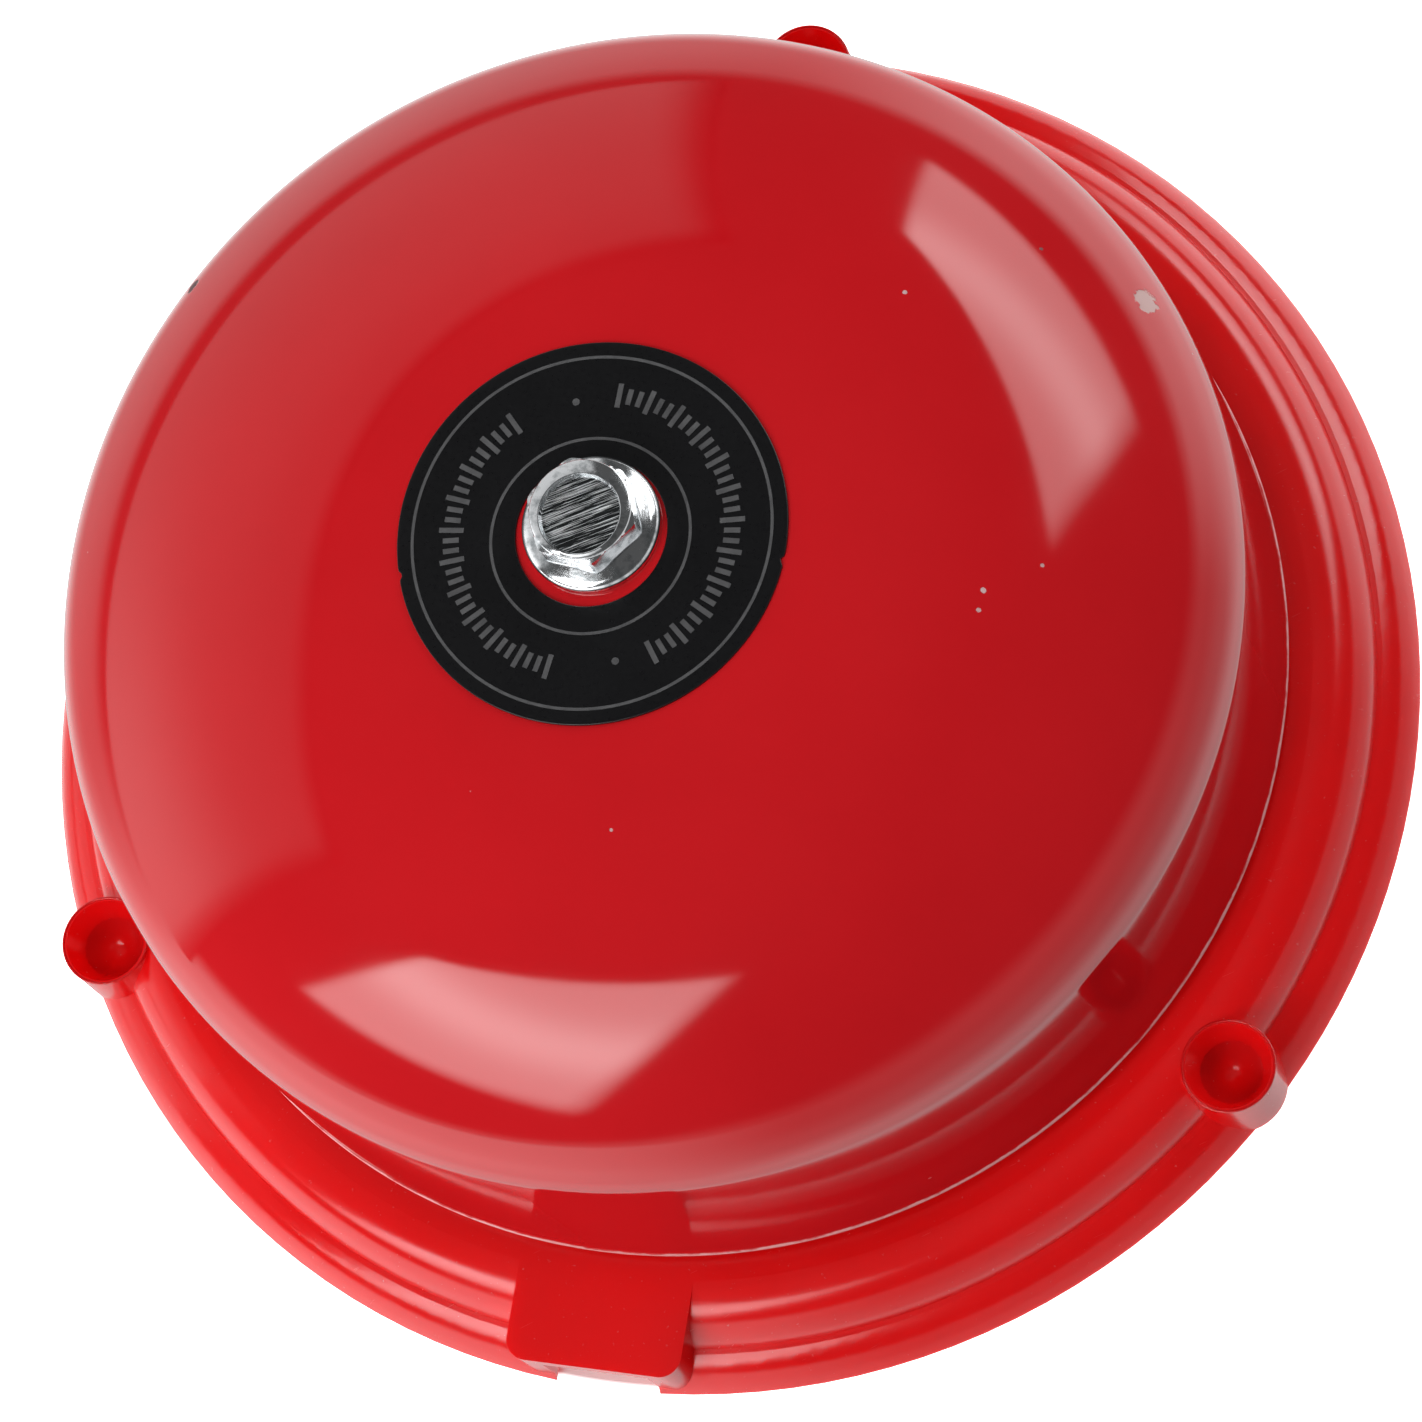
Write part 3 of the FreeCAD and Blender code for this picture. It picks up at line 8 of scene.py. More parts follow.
import bmesh
import bpy
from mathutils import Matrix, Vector


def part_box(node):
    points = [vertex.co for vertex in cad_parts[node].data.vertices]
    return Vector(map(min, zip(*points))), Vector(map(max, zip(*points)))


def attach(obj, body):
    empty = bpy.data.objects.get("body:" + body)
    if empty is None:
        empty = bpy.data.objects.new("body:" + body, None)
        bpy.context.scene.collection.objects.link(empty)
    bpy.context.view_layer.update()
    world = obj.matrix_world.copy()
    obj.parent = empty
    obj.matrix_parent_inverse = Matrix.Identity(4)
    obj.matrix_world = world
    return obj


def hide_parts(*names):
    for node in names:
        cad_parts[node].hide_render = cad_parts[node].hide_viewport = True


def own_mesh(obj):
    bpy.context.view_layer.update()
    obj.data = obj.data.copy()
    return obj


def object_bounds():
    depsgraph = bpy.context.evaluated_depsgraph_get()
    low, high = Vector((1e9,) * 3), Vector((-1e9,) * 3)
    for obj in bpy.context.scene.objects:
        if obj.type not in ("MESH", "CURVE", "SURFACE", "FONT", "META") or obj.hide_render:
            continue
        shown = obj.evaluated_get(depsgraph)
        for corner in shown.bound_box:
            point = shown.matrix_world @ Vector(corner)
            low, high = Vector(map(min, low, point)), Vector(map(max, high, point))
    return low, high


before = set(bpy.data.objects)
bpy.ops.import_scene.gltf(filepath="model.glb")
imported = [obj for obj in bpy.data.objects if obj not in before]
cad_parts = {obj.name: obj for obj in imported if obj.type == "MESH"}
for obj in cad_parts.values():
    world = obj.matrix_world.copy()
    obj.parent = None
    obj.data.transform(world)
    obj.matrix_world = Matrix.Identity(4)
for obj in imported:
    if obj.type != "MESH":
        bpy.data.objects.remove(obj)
CAD_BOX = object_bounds()

MM = 0.001
BODY = "bell_body"
# bolt face, mm: shared by its shape and its plating
FACE_RADIUS = 3.10
FACE_DEPTH = 0.58
HEAD_SHIFT = Vector((0.01, 0.50, 0.0))
FACE_SHIFT = Vector((0.08, -0.40, 0.0))
STRIATION_TURN = 27.0

# the gong's shell, mm: shared by its shape and its paint
GONG_THICKNESS = 1.2
SHOULDER_RADIUS = 8.0
DOME_RADIUS = 45.8
SKIRT_LEAN = math.radians(2.2)
FLAT_RADIUS = 15.9
BOLT_HOLE_RADIUS = 2.75


def shoulder_of(high, face):
    """Centre (radius, height) of the shoulder's arc and the angle where it meets the dome."""
    reach = DOME_RADIUS - SHOULDER_RADIUS
    dome_z = high.z - DOME_RADIUS
    room = face - SHOULDER_RADIUS - FLAT_RADIUS * math.cos(SKIRT_LEAN) - dome_z * math.sin(SKIRT_LEAN)
    meet = SKIRT_LEAN + math.acos(room / reach)
    return (FLAT_RADIUS + reach * math.cos(meet), dome_z + reach * math.sin(meet)), meet


def gong_height(radius):
    """Height of the shell's outside at a radius on the dome or the shoulder."""
    low, high = (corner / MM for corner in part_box("gong"))
    face = high.x * math.cos(SKIRT_LEAN) + low.z * math.sin(SKIRT_LEAN)
    (middle_r, middle_z), meet = shoulder_of(high, face)
    if radius > middle_r + SHOULDER_RADIUS * math.cos(meet):
        return middle_z + math.sqrt(max(SHOULDER_RADIUS ** 2 - (radius - middle_r) ** 2, 0.0))
    return high.z - DOME_RADIUS + math.sqrt(DOME_RADIUS ** 2 - (radius - FLAT_RADIUS) ** 2)


# ---- mesh helpers

def mesh_object(name, points, faces, sharp_angle=35.0):
    """A smooth-shaded mesh with its normals outwards and its real edges kept sharp."""
    mesh = bpy.data.meshes.new(name)
    mesh.from_pydata([tuple(p) for p in points], [], faces)
    work = bmesh.new()
    work.from_mesh(mesh)
    bmesh.ops.recalc_face_normals(work, faces=work.faces)
    work.to_mesh(mesh)
    work.free()
    mesh.shade_smooth()
    mesh.set_sharp_from_angle(angle=math.radians(sharp_angle))
    thing = bpy.data.objects.new(name, mesh)
    bpy.context.scene.collection.objects.link(thing)
    return thing


def skin(loops, ring=False, offset=0):
    """Points and faces over a row of equal closed loops.

    A ring joins the last loop to the first; otherwise both ends are capped.
    """
    size = len(loops[0])
    points = [p for loop in loops for p in loop]
    faces = []
    for i in range(len(loops) if ring else len(loops) - 1):
        j = (i + 1) % len(loops)
        here, there = offset + i * size, offset + j * size
        for k in range(size):
            m = (k + 1) % size
            faces.append((here + k, here + m, there + m, there + k))
    if not ring:
        faces.append(tuple(offset + k for k in range(size)))
        faces.append(tuple(offset + (len(loops) - 1) * size + k for k in range(size)))
    return points, faces


def gather(shapes):
    """The points and faces of several shapes, each given as its loops and whether they close to a ring."""
    points, faces = [], []
    for loops, ring in shapes:
        more_points, more_faces = skin(loops, ring, len(points))
        points.extend(more_points)
        faces.extend(more_faces)
    return points, faces


def grid_faces(rows, columns):
    """Faces over a grid of points that are listed row by row."""
    return [(i * columns + j, (i + 1) * columns + j, (i + 1) * columns + j + 1, i * columns + j + 1)
            for i in range(rows - 1) for j in range(columns - 1)]


def polar(radius, degrees, height):
    """A point at a radius and azimuth about the bell's axis."""
    turn = math.radians(degrees)
    return Vector((radius * math.cos(turn), radius * math.sin(turn), height))


def circle(centre, radius, height, steps):
    """Points round a level circle; the radius and height are in mm, the centre in metres."""
    return [centre + polar(radius * MM, 360.0 * i / steps, height * MM) for i in range(steps)]


def arc(centre_r, centre_z, radius, start, end, count):
    """Profile points (radius, height) along an arc, from a start to an end angle in degrees."""
    angles = [math.radians(start + (end - start) * i / count) for i in range(count + 1)]
    return [(centre_r + radius * math.cos(a), centre_z + radius * math.sin(a)) for a in angles]


def line(start, end, count):
    """Profile points evenly along a straight run, without its end point."""
    return [tuple(s + (e - s) * i / count for s, e in zip(start, end)) for i in range(count)]


def turned(name, profile, steps, shift=None):
    """A ring turned from a closed profile in mm; shift(radius, azimuth) trims the radius."""
    loops = []
    for i in range(steps):
        azimuth = 360.0 * i / steps
        trimmed = [(r if shift is None else shift(r, azimuth), z) for r, z in profile]
        loops.append([polar(r * MM, azimuth, z * MM) for r, z in trimmed])
    return mesh_object(name, *skin(loops, ring=True))


def add_piece(thing, body, slot, *nodes):
    """Puts a finished piece on its body and hides the CAD nodes it stands for."""
    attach(thing, body)
    if nodes:
        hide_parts(*nodes)


# ---- node helpers

def node(tree, kind, inputs=None, **settings):
    """A node with its settings; an input is a value or the socket that feeds it."""
    made = tree.nodes.new(kind)
    for key, value in settings.items():
        setattr(made, key, value)
    for key, value in (inputs or {}).items():
        if isinstance(value, bpy.types.NodeSocket):
            tree.links.new(value, made.inputs[key])
        else:
            made.inputs[key].default_value = value
    return made


def noise_at(tree, place, scale, detail=3.0, roughness=0.55):
    """Noise whose grains measure about 1 / scale metres."""
    return node(tree, "ShaderNodeTexNoise", {"Vector": place, "Scale": scale, "Detail": detail,
            "Roughness": roughness}).outputs["Fac"]


def stretched(tree, place, scale, turn=0.0):
    """Coordinates scaled by a different amount along each axis, after a turn about Z in degrees."""
    turned_place = node(tree, "ShaderNodeMapping", {"Vector": place, "Rotation": (0, 0, math.radians(-turn))})
    return node(tree, "ShaderNodeMapping", {"Vector": turned_place.outputs[0], "Scale": scale}).outputs[0]


def spread(tree, value, low, high, bottom=0.0, top=1.0):
    """Maps low..high to bottom..top, held at both ends."""
    return node(tree, "ShaderNodeMapRange", {"Value": value, "From Min": low, "From Max": high,
            "To Min": bottom, "To Max": top}).outputs["Result"]


def maths(tree, operation, first, second):
    """One step of arithmetic between two values or sockets."""
    return node(tree, "ShaderNodeMath", {0: first, 1: second}, operation=operation).outputs[0]


def blend_colour(tree, factor, first, second):
    """first where the factor is 0, second where it is 1."""
    made = node(tree, "ShaderNodeMix", data_type="RGBA")
    for index, value in ((0, factor), (6, first), (7, second)):
        if isinstance(value, bpy.types.NodeSocket):
            tree.links.new(value, made.inputs[index])
        else:
            made.inputs[index].default_value = value if index == 0 else (*value, 1.0)
    return made.outputs[2]


def mixed_value(tree, factor, first, second):
    """first where the factor is 0, second where it is 1."""
    return node(tree, "ShaderNodeMix", {0: factor, 2: first, 3: second}).outputs[0]


def new_material(name):
    """A principled material: (material, tree, shader, object coordinates)."""
    material = bpy.data.materials.new(name)
    material.use_nodes = True
    tree = material.node_tree
    place = node(tree, "ShaderNodeTexCoord").outputs["Object"]
    return material, tree, tree.nodes["Principled BSDF"], place


def bumped(tree, height, distance, below=None):
    """A bump of a height field that is distance metres tall, over another bump if given."""
    inputs = {"Height": height, "Distance": distance, "Strength": 1.0}
    if below is not None:
        inputs["Normal"] = below
    return node(tree, "ShaderNodeBump", inputs).outputs["Normal"]


def set_shader(tree, shader, colour, roughness, normal, **values):
    """Links the varying inputs and sets the constant ones on the shader itself."""
    tree.links.new(colour, shader.inputs["Base Color"])
    tree.links.new(roughness, shader.inputs["Roughness"])
    tree.links.new(normal, shader.inputs["Normal"])
    for key, value in values.items():
        shader.inputs[key.replace("_", " ")].default_value = value


# ---- materials

PAINT_RED = (0.605, 0.0078, 0.0125)
PAINT_DEEP = (0.565, 0.0062, 0.0105)
PLASTIC_RED = (0.79, 0.0054, 0.0066)
PLASTIC_DEEP = (0.73, 0.0042, 0.0052)
DUST = (0.62, 0.36, 0.36)
# heights over which the painted highlight along the rim's edge fades out, metres; then the highlight's pale
# pink colour
RIM_HIGHLIGHT_HEIGHTS = (0.00870, 0.00885)
RIM_HIGHLIGHT_TONE = (0.80, 0.40, 0.40)
# radius mm, azimuth degrees, half size mm, colour: a chip by the rim, a dark one opposite, a few specks
PAINT_MARKS = (
    (47.0, 35.0, 1.0, (0.60, 0.38, 0.36)),
    (47.0, 152.0, 0.6, (0.08, 0.006, 0.008)),
    (31.0, 47.0, 0.16, (0.66, 0.40, 0.40)),
    (31.0, -2.0, 0.20, (0.66, 0.42, 0.42)),
    (31.0, -5.0, 0.20, (0.62, 0.34, 0.34)),
    (35.0, 3.0, 0.15, (0.62, 0.34, 0.34)),
    (42.0, 44.0, 0.16, (0.20, 0.02, 0.025)),
    (24.0, -77.0, 0.12, (0.62, 0.34, 0.34)),
)


def clouded(name, light, dark, rough, cloud=90.0, grain=(1800, 1800, 1800), turn=0.0, bump=2e-6, wave=0.0,
            **values):
    """The common recipe: cloudy colour between two tones, grain in the roughness and a fine bump."""
    material, tree, shader, place = new_material(name)
    clouds = spread(tree, noise_at(tree, place, cloud, 5.0), 0.3, 0.7)
    fine = noise_at(tree, stretched(tree, place, grain, turn), 1.0, 4.0)
    tone = blend_colour(tree, clouds, dark, light)
    flecked = blend_colour(tree, spread(tree, fine, 0.35, 0.75, 0.0, 0.35), tone, dark)
    normal = bumped(tree, fine, bump)
    if wave:
        normal = bumped(tree, noise_at(tree, place, 120.0, 1.0), wave, normal)
    set_shader(tree, shader, flecked, spread(tree, fine, 0.3, 0.7, *rough), normal, **values)
    return material


def gong_paint():
    """Gloss red enamel: faint waves of the drawn steel, orange peel, dust, a few chips and a painted
    highlight along the rim's edge.
    """
    material, tree, shader, place = new_material("gong_paint")
    clouds = spread(tree, noise_at(tree, place, 45.0, 4.0), 0.3, 0.7)
    colour = blend_colour(tree, clouds, PAINT_DEEP, PAINT_RED)
    ragged = noise_at(tree, place, 1600.0, 3.0)
    chips = None
    for radius, azimuth, size, tone in PAINT_MARKS:
        centre = polar(radius * MM, azimuth, gong_height(radius) * MM)
        offset = node(tree, "ShaderNodeVectorMath", {0: place, 1: centre}, operation="SUBTRACT").outputs[0]
        length = node(tree, "ShaderNodeVectorMath", {0: offset}, operation="LENGTH").outputs["Value"]
        uneven = spread(tree, ragged, 0.3, 0.7, -0.35 * size * MM, 0.35 * size * MM)
        reach = maths(tree, "ADD", length, uneven)
        mask = spread(tree, reach, 0.95 * size * MM, 1.15 * size * MM, 1.0, 0.0)
        colour = blend_colour(tree, mask, colour, tone)
        chips = mask if chips is None else maths(tree, "MAXIMUM", chips, mask)
    cells = node(tree, "ShaderNodeTexVoronoi", {"Vector": place, "Scale": 330.0})
    lottery = node(tree, "ShaderNodeSeparateColor", {"Color": cells.outputs["Color"]}).outputs[0]
    dust_size = spread(tree, lottery, 0.9, 1.0, 0.0, 0.055)
    dust = maths(tree, "LESS_THAN", cells.outputs["Distance"], dust_size)
    colour = blend_colour(tree, maths(tree, "MULTIPLY", dust, 0.45), colour, DUST)
    height = node(tree, "ShaderNodeSeparateXYZ", {"Vector": place}).outputs["Z"]
    # a pale pink band painted low on the rim's edge is a painted highlight; noise frays its upper edge
    frayed = spread(tree, noise_at(tree, place, 500.0, 3.0), 0.3, 0.7, 0.0, 0.0003)
    rim_highlight = spread(tree, maths(tree, "SUBTRACT", height, frayed), *RIM_HIGHLIGHT_HEIGHTS, 0.75, 0.0)
    colour = blend_colour(tree, rim_highlight, colour, RIM_HIGHLIGHT_TONE)
    waves = bumped(tree, noise_at(tree, place, 80.0, 1.0), 9e-6)
    peel = bumped(tree, noise_at(tree, place, 900.0, 2.0), 0.7e-6, waves)
    pitted = bumped(tree, maths(tree, "SUBTRACT", 1.0, chips), 6e-5, peel)
    smear = noise_at(tree, place, 60.0, 5.0)
    smeared = spread(tree, smear, 0.35, 0.75, 0.055, 0.10)
    worn = maths(tree, "MAXIMUM", smeared, maths(tree, "MULTIPLY", chips, 0.5))
    set_shader(tree, shader, colour, worn, pitted, IOR=1.5)
    return material


def base_plastic():
    """Gloss moulded red plastic: fine texture, flow clouds, hairline scratches and a little translucence."""
    material, tree, shader, place = new_material("base_plastic")
    clouds = spread(tree, noise_at(tree, place, 38.0, 5.0), 0.3, 0.7)
    colour = blend_colour(tree, clouds, PLASTIC_DEEP, PLASTIC_RED)
    hairs = noise_at(tree, stretched(tree, place, (260, 5200, 900), 33.0), 1.0, 2.0)
    scratch = spread(tree, hairs, 0.70, 0.76)
    specks = spread(tree, noise_at(tree, place, 2300.0, 2.0), 0.70, 0.80, 0.0, 0.25)
    colour = blend_colour(tree, specks, colour, DUST)
    fine = noise_at(tree, place, 1500.0, 3.0)
    swell = bumped(tree, noise_at(tree, place, 95.0, 1.0), 1.2e-5)
    skin_bump = bumped(tree, fine, 1.6e-6, swell)
    scored = bumped(tree, maths(tree, "SUBTRACT", 1.0, scratch), 2e-6, skin_bump)
    rough = maths(tree, "ADD", spread(tree, noise_at(tree, place, 70.0, 4.0), 0.3, 0.7, 0.14, 0.22),
                  maths(tree, "MULTIPLY", scratch, 0.12))
    set_shader(tree, shader, colour, rough, scored, IOR=1.5)
    shader.inputs["Subsurface Weight"].default_value = 0.45
    shader.inputs["Subsurface Radius"].default_value = (1.0, 0.12, 0.1)
    shader.inputs["Subsurface Scale"].default_value = 0.0030
    return material


def galvanised():
    """Zinc spangle: flat crystals of slightly different tone and gloss."""
    material, tree, shader, place = new_material("galvanised_sheet")
    cells = node(tree, "ShaderNodeTexVoronoi", {"Vector": place, "Scale": 320.0, "Randomness": 1.0})
    pick = node(tree, "ShaderNodeSeparateColor", {"Color": cells.outputs["Color"]}).outputs[0]
    colour = blend_colour(tree, pick, (0.42, 0.44, 0.46), (0.68, 0.70, 0.72))
    fine = noise_at(tree, place, 2200.0, 3.0)
    normal = bumped(tree, fine, 1.5e-6, bumped(tree, pick, 4e-6))
    set_shader(tree, shader, colour, spread(tree, pick, 0.0, 1.0, 0.28, 0.46), normal, Metallic=1.0)
    return material


def laminated():
    """Stacked core sheets: a dark seam every 0.35 mm of height."""
    material, tree, shader, place = new_material("laminated_steel")
    bands = node(tree, "ShaderNodeTexWave", {"Vector": place, "Scale": 450.0}, bands_direction="Z")
    seam = spread(tree, bands.outputs["Fac"], 0.05, 0.3)
    colour = blend_colour(tree, seam, (0.05, 0.045, 0.04), (0.36, 0.36, 0.38))
    rust = spread(tree, noise_at(tree, place, 700.0, 3.0), 0.5, 0.8, 0.0, 0.5)
    blotched = blend_colour(tree, rust, colour, (0.20, 0.12, 0.07))
    set_shader(tree, shader, blotched, spread(tree, seam, 0.0, 1.0, 0.6, 0.38), bumped(tree, seam, 2.5e-5),
               Metallic=0.9)
    return material


def bolt_zinc():
    """Bright zinc plate, nearly a mirror, with strong striations on the cold-headed face."""
    material, tree, shader, place = new_material("zinc_bolt")
    face = Vector((0.0, 0.0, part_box("gong_bolt")[1].z - FACE_DEPTH * MM)) + (HEAD_SHIFT + FACE_SHIFT) * MM
    offset = node(tree, "ShaderNodeVectorMath", {0: place, 1: face}, operation="SUBTRACT").outputs[0]
    length = node(tree, "ShaderNodeVectorMath", {0: offset}, operation="LENGTH").outputs["Value"]
    on_face = spread(tree, length, (FACE_RADIUS - 0.02) * MM, (FACE_RADIUS + 0.03) * MM, 1.0, 0.0)
    lines = noise_at(tree, stretched(tree, place, (300, 12500, 500), STRIATION_TURN), 1.0, 2.0, 0.6)
    stripes = spread(tree, lines, 0.50, 0.61)
    coarse = noise_at(tree, place, 900.0, 4.0)
    hairs = noise_at(tree, stretched(tree, place, (500, 500, 7000), 0.0), 1.0, 3.0, 0.7)
    striped = blend_colour(tree, stripes, (0.15, 0.165, 0.17), (0.98, 0.99, 1.0))
    patches = spread(tree, coarse, 0.47, 0.66, 0.0, 0.75)
    plain = blend_colour(tree, patches, (0.88, 0.90, 0.92), (0.26, 0.29, 0.30))
    colour = blend_colour(tree, on_face, plain, striped)
    face_rough = spread(tree, stripes, 0.0, 1.0, 0.12, 0.62)
    rough = mixed_value(tree, on_face, spread(tree, coarse, 0.35, 0.65, 0.07, 0.20), face_rough)
    dents = bumped(tree, coarse, 1.4e-5, bumped(tree, hairs, 3e-6))
    normal = bumped(tree, maths(tree, "MULTIPLY", stripes, on_face), 1.4e-5, dents)
    set_shader(tree, shader, colour, rough, normal, Metallic=1.0)
    return material


BRUSHED = (900, 900, 6500)
TURNED = (6000, 6000, 700)

MATERIALS = {
    "gong_paint": gong_paint(),
    "base_plastic": base_plastic(),
    "galvanised_sheet": galvanised(),
    "laminated_steel": laminated(),
    "zinc_bolt": bolt_zinc(),
    "label_black": clouded("label_black", (0.0048, 0.0048, 0.0056), (0.0028, 0.0028, 0.0034), (0.26, 0.36),
        cloud=160.0, grain=(2600, 2600, 2600), bump=1.2e-6, wave=8e-6),
    "zinc_steel": clouded("zinc_steel", (0.74, 0.76, 0.79), (0.50, 0.52, 0.55), (0.22, 0.38), cloud=600.0,
        grain=TURNED, bump=3e-6, Metallic=1.0),
    "nickel_steel": clouded("nickel_steel", (0.70, 0.68, 0.64), (0.52, 0.50, 0.46), (0.16, 0.30), cloud=140.0,
        grain=BRUSHED, bump=1.5e-6, Metallic=1.0),
    "polished_steel": clouded("polished_steel", (0.80, 0.80, 0.80), (0.66, 0.66, 0.67), (0.07, 0.16),
        cloud=300.0, grain=BRUSHED, bump=0.8e-6, Metallic=1.0),
    "spring_steel": clouded("spring_steel", (0.58, 0.58, 0.60), (0.34, 0.33, 0.33), (0.22, 0.36), cloud=500.0,
        grain=(5200, 900, 900), bump=2e-6, Metallic=1.0),
    "ferrite": clouded("ferrite", (0.085, 0.085, 0.092), (0.045, 0.045, 0.050), (0.55, 0.75), cloud=900.0,
                       grain=(4200, 4200, 4200), bump=8e-6),
    "fibre": clouded("fibre", (0.42, 0.10, 0.05), (0.25, 0.055, 0.030), (0.55, 0.75), cloud=420.0,
                     grain=(700, 4800, 900), turn=20.0, bump=1.2e-5),
    "brass": clouded("brass", (0.80, 0.58, 0.25), (0.60, 0.40, 0.16), (0.20, 0.34), cloud=260.0,
                     grain=TURNED, bump=2e-6, Metallic=1.0),
    "bronze": clouded("bronze", (0.62, 0.40, 0.20), (0.36, 0.22, 0.11), (0.36, 0.54), cloud=900.0,
                      grain=(3800, 3800, 3800), bump=1e-5, Metallic=1.0),
    "copper": clouded("copper", (0.82, 0.42, 0.26), (0.46, 0.20, 0.12), (0.24, 0.40), cloud=420.0,
                      grain=BRUSHED, bump=3e-6, Metallic=1.0),
    "enamelled_copper": clouded("enamelled_copper", (0.66, 0.26, 0.10), (0.40, 0.13, 0.045), (0.16, 0.28),
        cloud=700.0, grain=(3000, 3000, 3000), bump=2e-6, Metallic=0.75,
        Coat_Weight=0.5, Coat_Roughness=0.08),
    "carbon": clouded("carbon", (0.055, 0.055, 0.058), (0.022, 0.022, 0.024), (0.42, 0.62), cloud=1300.0,
                      grain=(5200, 5200, 5200), bump=8e-6),
    "black_plastic": clouded("black_plastic", (0.030, 0.030, 0.032), (0.018, 0.018, 0.020), (0.34, 0.48),
        cloud=200.0, grain=(2400, 2400, 2400), bump=6e-6),
    "white_acetal": clouded("white_acetal", (0.84, 0.84, 0.81), (0.76, 0.75, 0.71), (0.30, 0.42), cloud=180.0,
        grain=(2000, 2000, 2000), bump=3e-6, Subsurface_Weight=0.1,
        Subsurface_Scale=0.001),
    "block_plastic": clouded("block_plastic", (0.74, 0.75, 0.72), (0.64, 0.65, 0.61), (0.34, 0.48),
        cloud=220.0, grain=(1900, 1900, 1900), bump=5e-6, Subsurface_Weight=0.1,
        Subsurface_Scale=0.001),
    "red_wire": clouded("red_wire", (0.62, 0.020, 0.020), (0.44, 0.012, 0.012), (0.26, 0.40), cloud=260.0,
        grain=(900, 900, 3600), bump=4e-6),
    "black_wire": clouded("black_wire", (0.022, 0.022, 0.023), (0.012, 0.012, 0.013), (0.26, 0.40),
        cloud=260.0, grain=(900, 900, 3600), bump=4e-6),
    "capacitor_glaze": clouded("capacitor_glaze", (0.70, 0.30, 0.07), (0.50, 0.18, 0.035), (0.12, 0.26),
        cloud=520.0, grain=(1500, 1500, 1500), bump=1.2e-5, Coat_Weight=0.4),
}
PRINT_GREY = clouded("print_grey", (0.105, 0.105, 0.108), (0.065, 0.065, 0.068), (0.35, 0.50), cloud=900.0,
                     grain=(3600, 3600, 3600), bump=1.5e-6)


# ---- the gong (mm)

RIM_FILLET = 0.45
LIP_REACH = 0.16
# share of the lip's reach, height above the rim's fillet
LIP_PROFILE = ((0.05, 0.10), (0.25, 0.18), (0.55, 0.24), (0.85, 0.32), (1.0, 0.44))
FLAT_INSET = 0.8
GONG_STEPS = 288


def make_gong():
    """The drawn steel shell: flat crown, dome, shoulder and leaning skirt, all of one thickness."""
    low, high = (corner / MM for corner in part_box("gong"))
    lean = (math.cos(SKIRT_LEAN), math.sin(SKIRT_LEAN))
    rim_r, rim_z = high.x - RIM_FILLET, low.z + RIM_FILLET
    dome_z = high.z - DOME_RADIUS
    face = rim_r * lean[0] + rim_z * lean[1] + RIM_FILLET - LIP_REACH
    shoulder, meet = shoulder_of(high, face)
    inner_rim = (face - GONG_THICKNESS + RIM_FILLET - rim_z * lean[1]) / lean[0]
    under = high.z - GONG_THICKNESS
    tilt, turn = math.degrees(SKIRT_LEAN), math.degrees(meet)
    skirt_foot = arc(rim_r, rim_z, RIM_FILLET, -90, 0, 6)
    skirt_foot += [(high.x - LIP_REACH * share, rim_z + up) for share, up in LIP_PROFILE]
    shoulder_out = arc(*shoulder, SHOULDER_RADIUS, tilt, turn, 24)
    shoulder_in = arc(*shoulder, SHOULDER_RADIUS - GONG_THICKNESS, turn, tilt, 14)
    rim_in = arc(inner_rim, rim_z, RIM_FILLET, 180 + tilt, 270, 6)
    profile = skirt_foot + line(skirt_foot[-1], shoulder_out[0], 14)[1:] + shoulder_out
    profile += arc(FLAT_RADIUS, dome_z, DOME_RADIUS, turn, 90, 40)[1:]
    profile += line((FLAT_RADIUS - FLAT_INSET, high.z), (BOLT_HOLE_RADIUS, high.z), 8)
    profile += [(BOLT_HOLE_RADIUS, high.z), (BOLT_HOLE_RADIUS, under)]
    profile += line((BOLT_HOLE_RADIUS + FLAT_INSET, under), (FLAT_RADIUS, under), 8)
    profile += arc(FLAT_RADIUS, dome_z, DOME_RADIUS - GONG_THICKNESS, 90, turn, 30)
    profile += shoulder_in[1:] + line(shoulder_in[-1], rim_in[0], 10)[1:] + rim_in
    shell = turned("gong_shell", profile, GONG_STEPS)
    shell.data.materials.append(MATERIALS["gong_paint"])
    add_piece(shell, BODY, "gong_paint", "gong")


# ---- the label (mm, degrees)

LABEL_HOLE_RADIUS = 6.1
LABEL_ROUND = 0.08
LABEL_UNDER_INSET = 0.2
LABEL_TOP_INSET = 0.4
LABEL_STEPS = 360
NICKED_FROM = 12.0
LABEL_NICKS = (-161.5, -3.3)
NICK_DEPTH = 0.3
NICK_SPREAD = 0.9

# radii as shares of the label's radius, the rest in mm
PRINT_HEIGHT = 0.02
RING_WIDTH = 0.24
RING_STEPS = 180
# share, sideways shift
PRINT_RINGS = ((0.92, 0.0), (0.51, -0.33))
TICK_RING = 0.72
TICK_LENGTHS = (2.0, 1.3, 1.3)
TICK_WIDTH = 0.42
TICK_STEP = 4.3
TICK_GROUPS = ((133.0, 262.0), (-55.0, 88.0))
# azimuth, radius
PRINT_DOTS = ((106.0, 10.9), (-70.0, 10.9))
DOT_RADIUS = 0.3
DOT_STEPS = 18


def nicked(radius, azimuth):
    """The label's edge has two small nicks."""
    if radius < NICKED_FROM:
        return radius
    for centre in LABEL_NICKS:
        apart = (azimuth - centre + 180.0) % 360.0 - 180.0
        radius -= NICK_DEPTH * math.exp(-(apart / NICK_SPREAD) ** 2)
    return radius


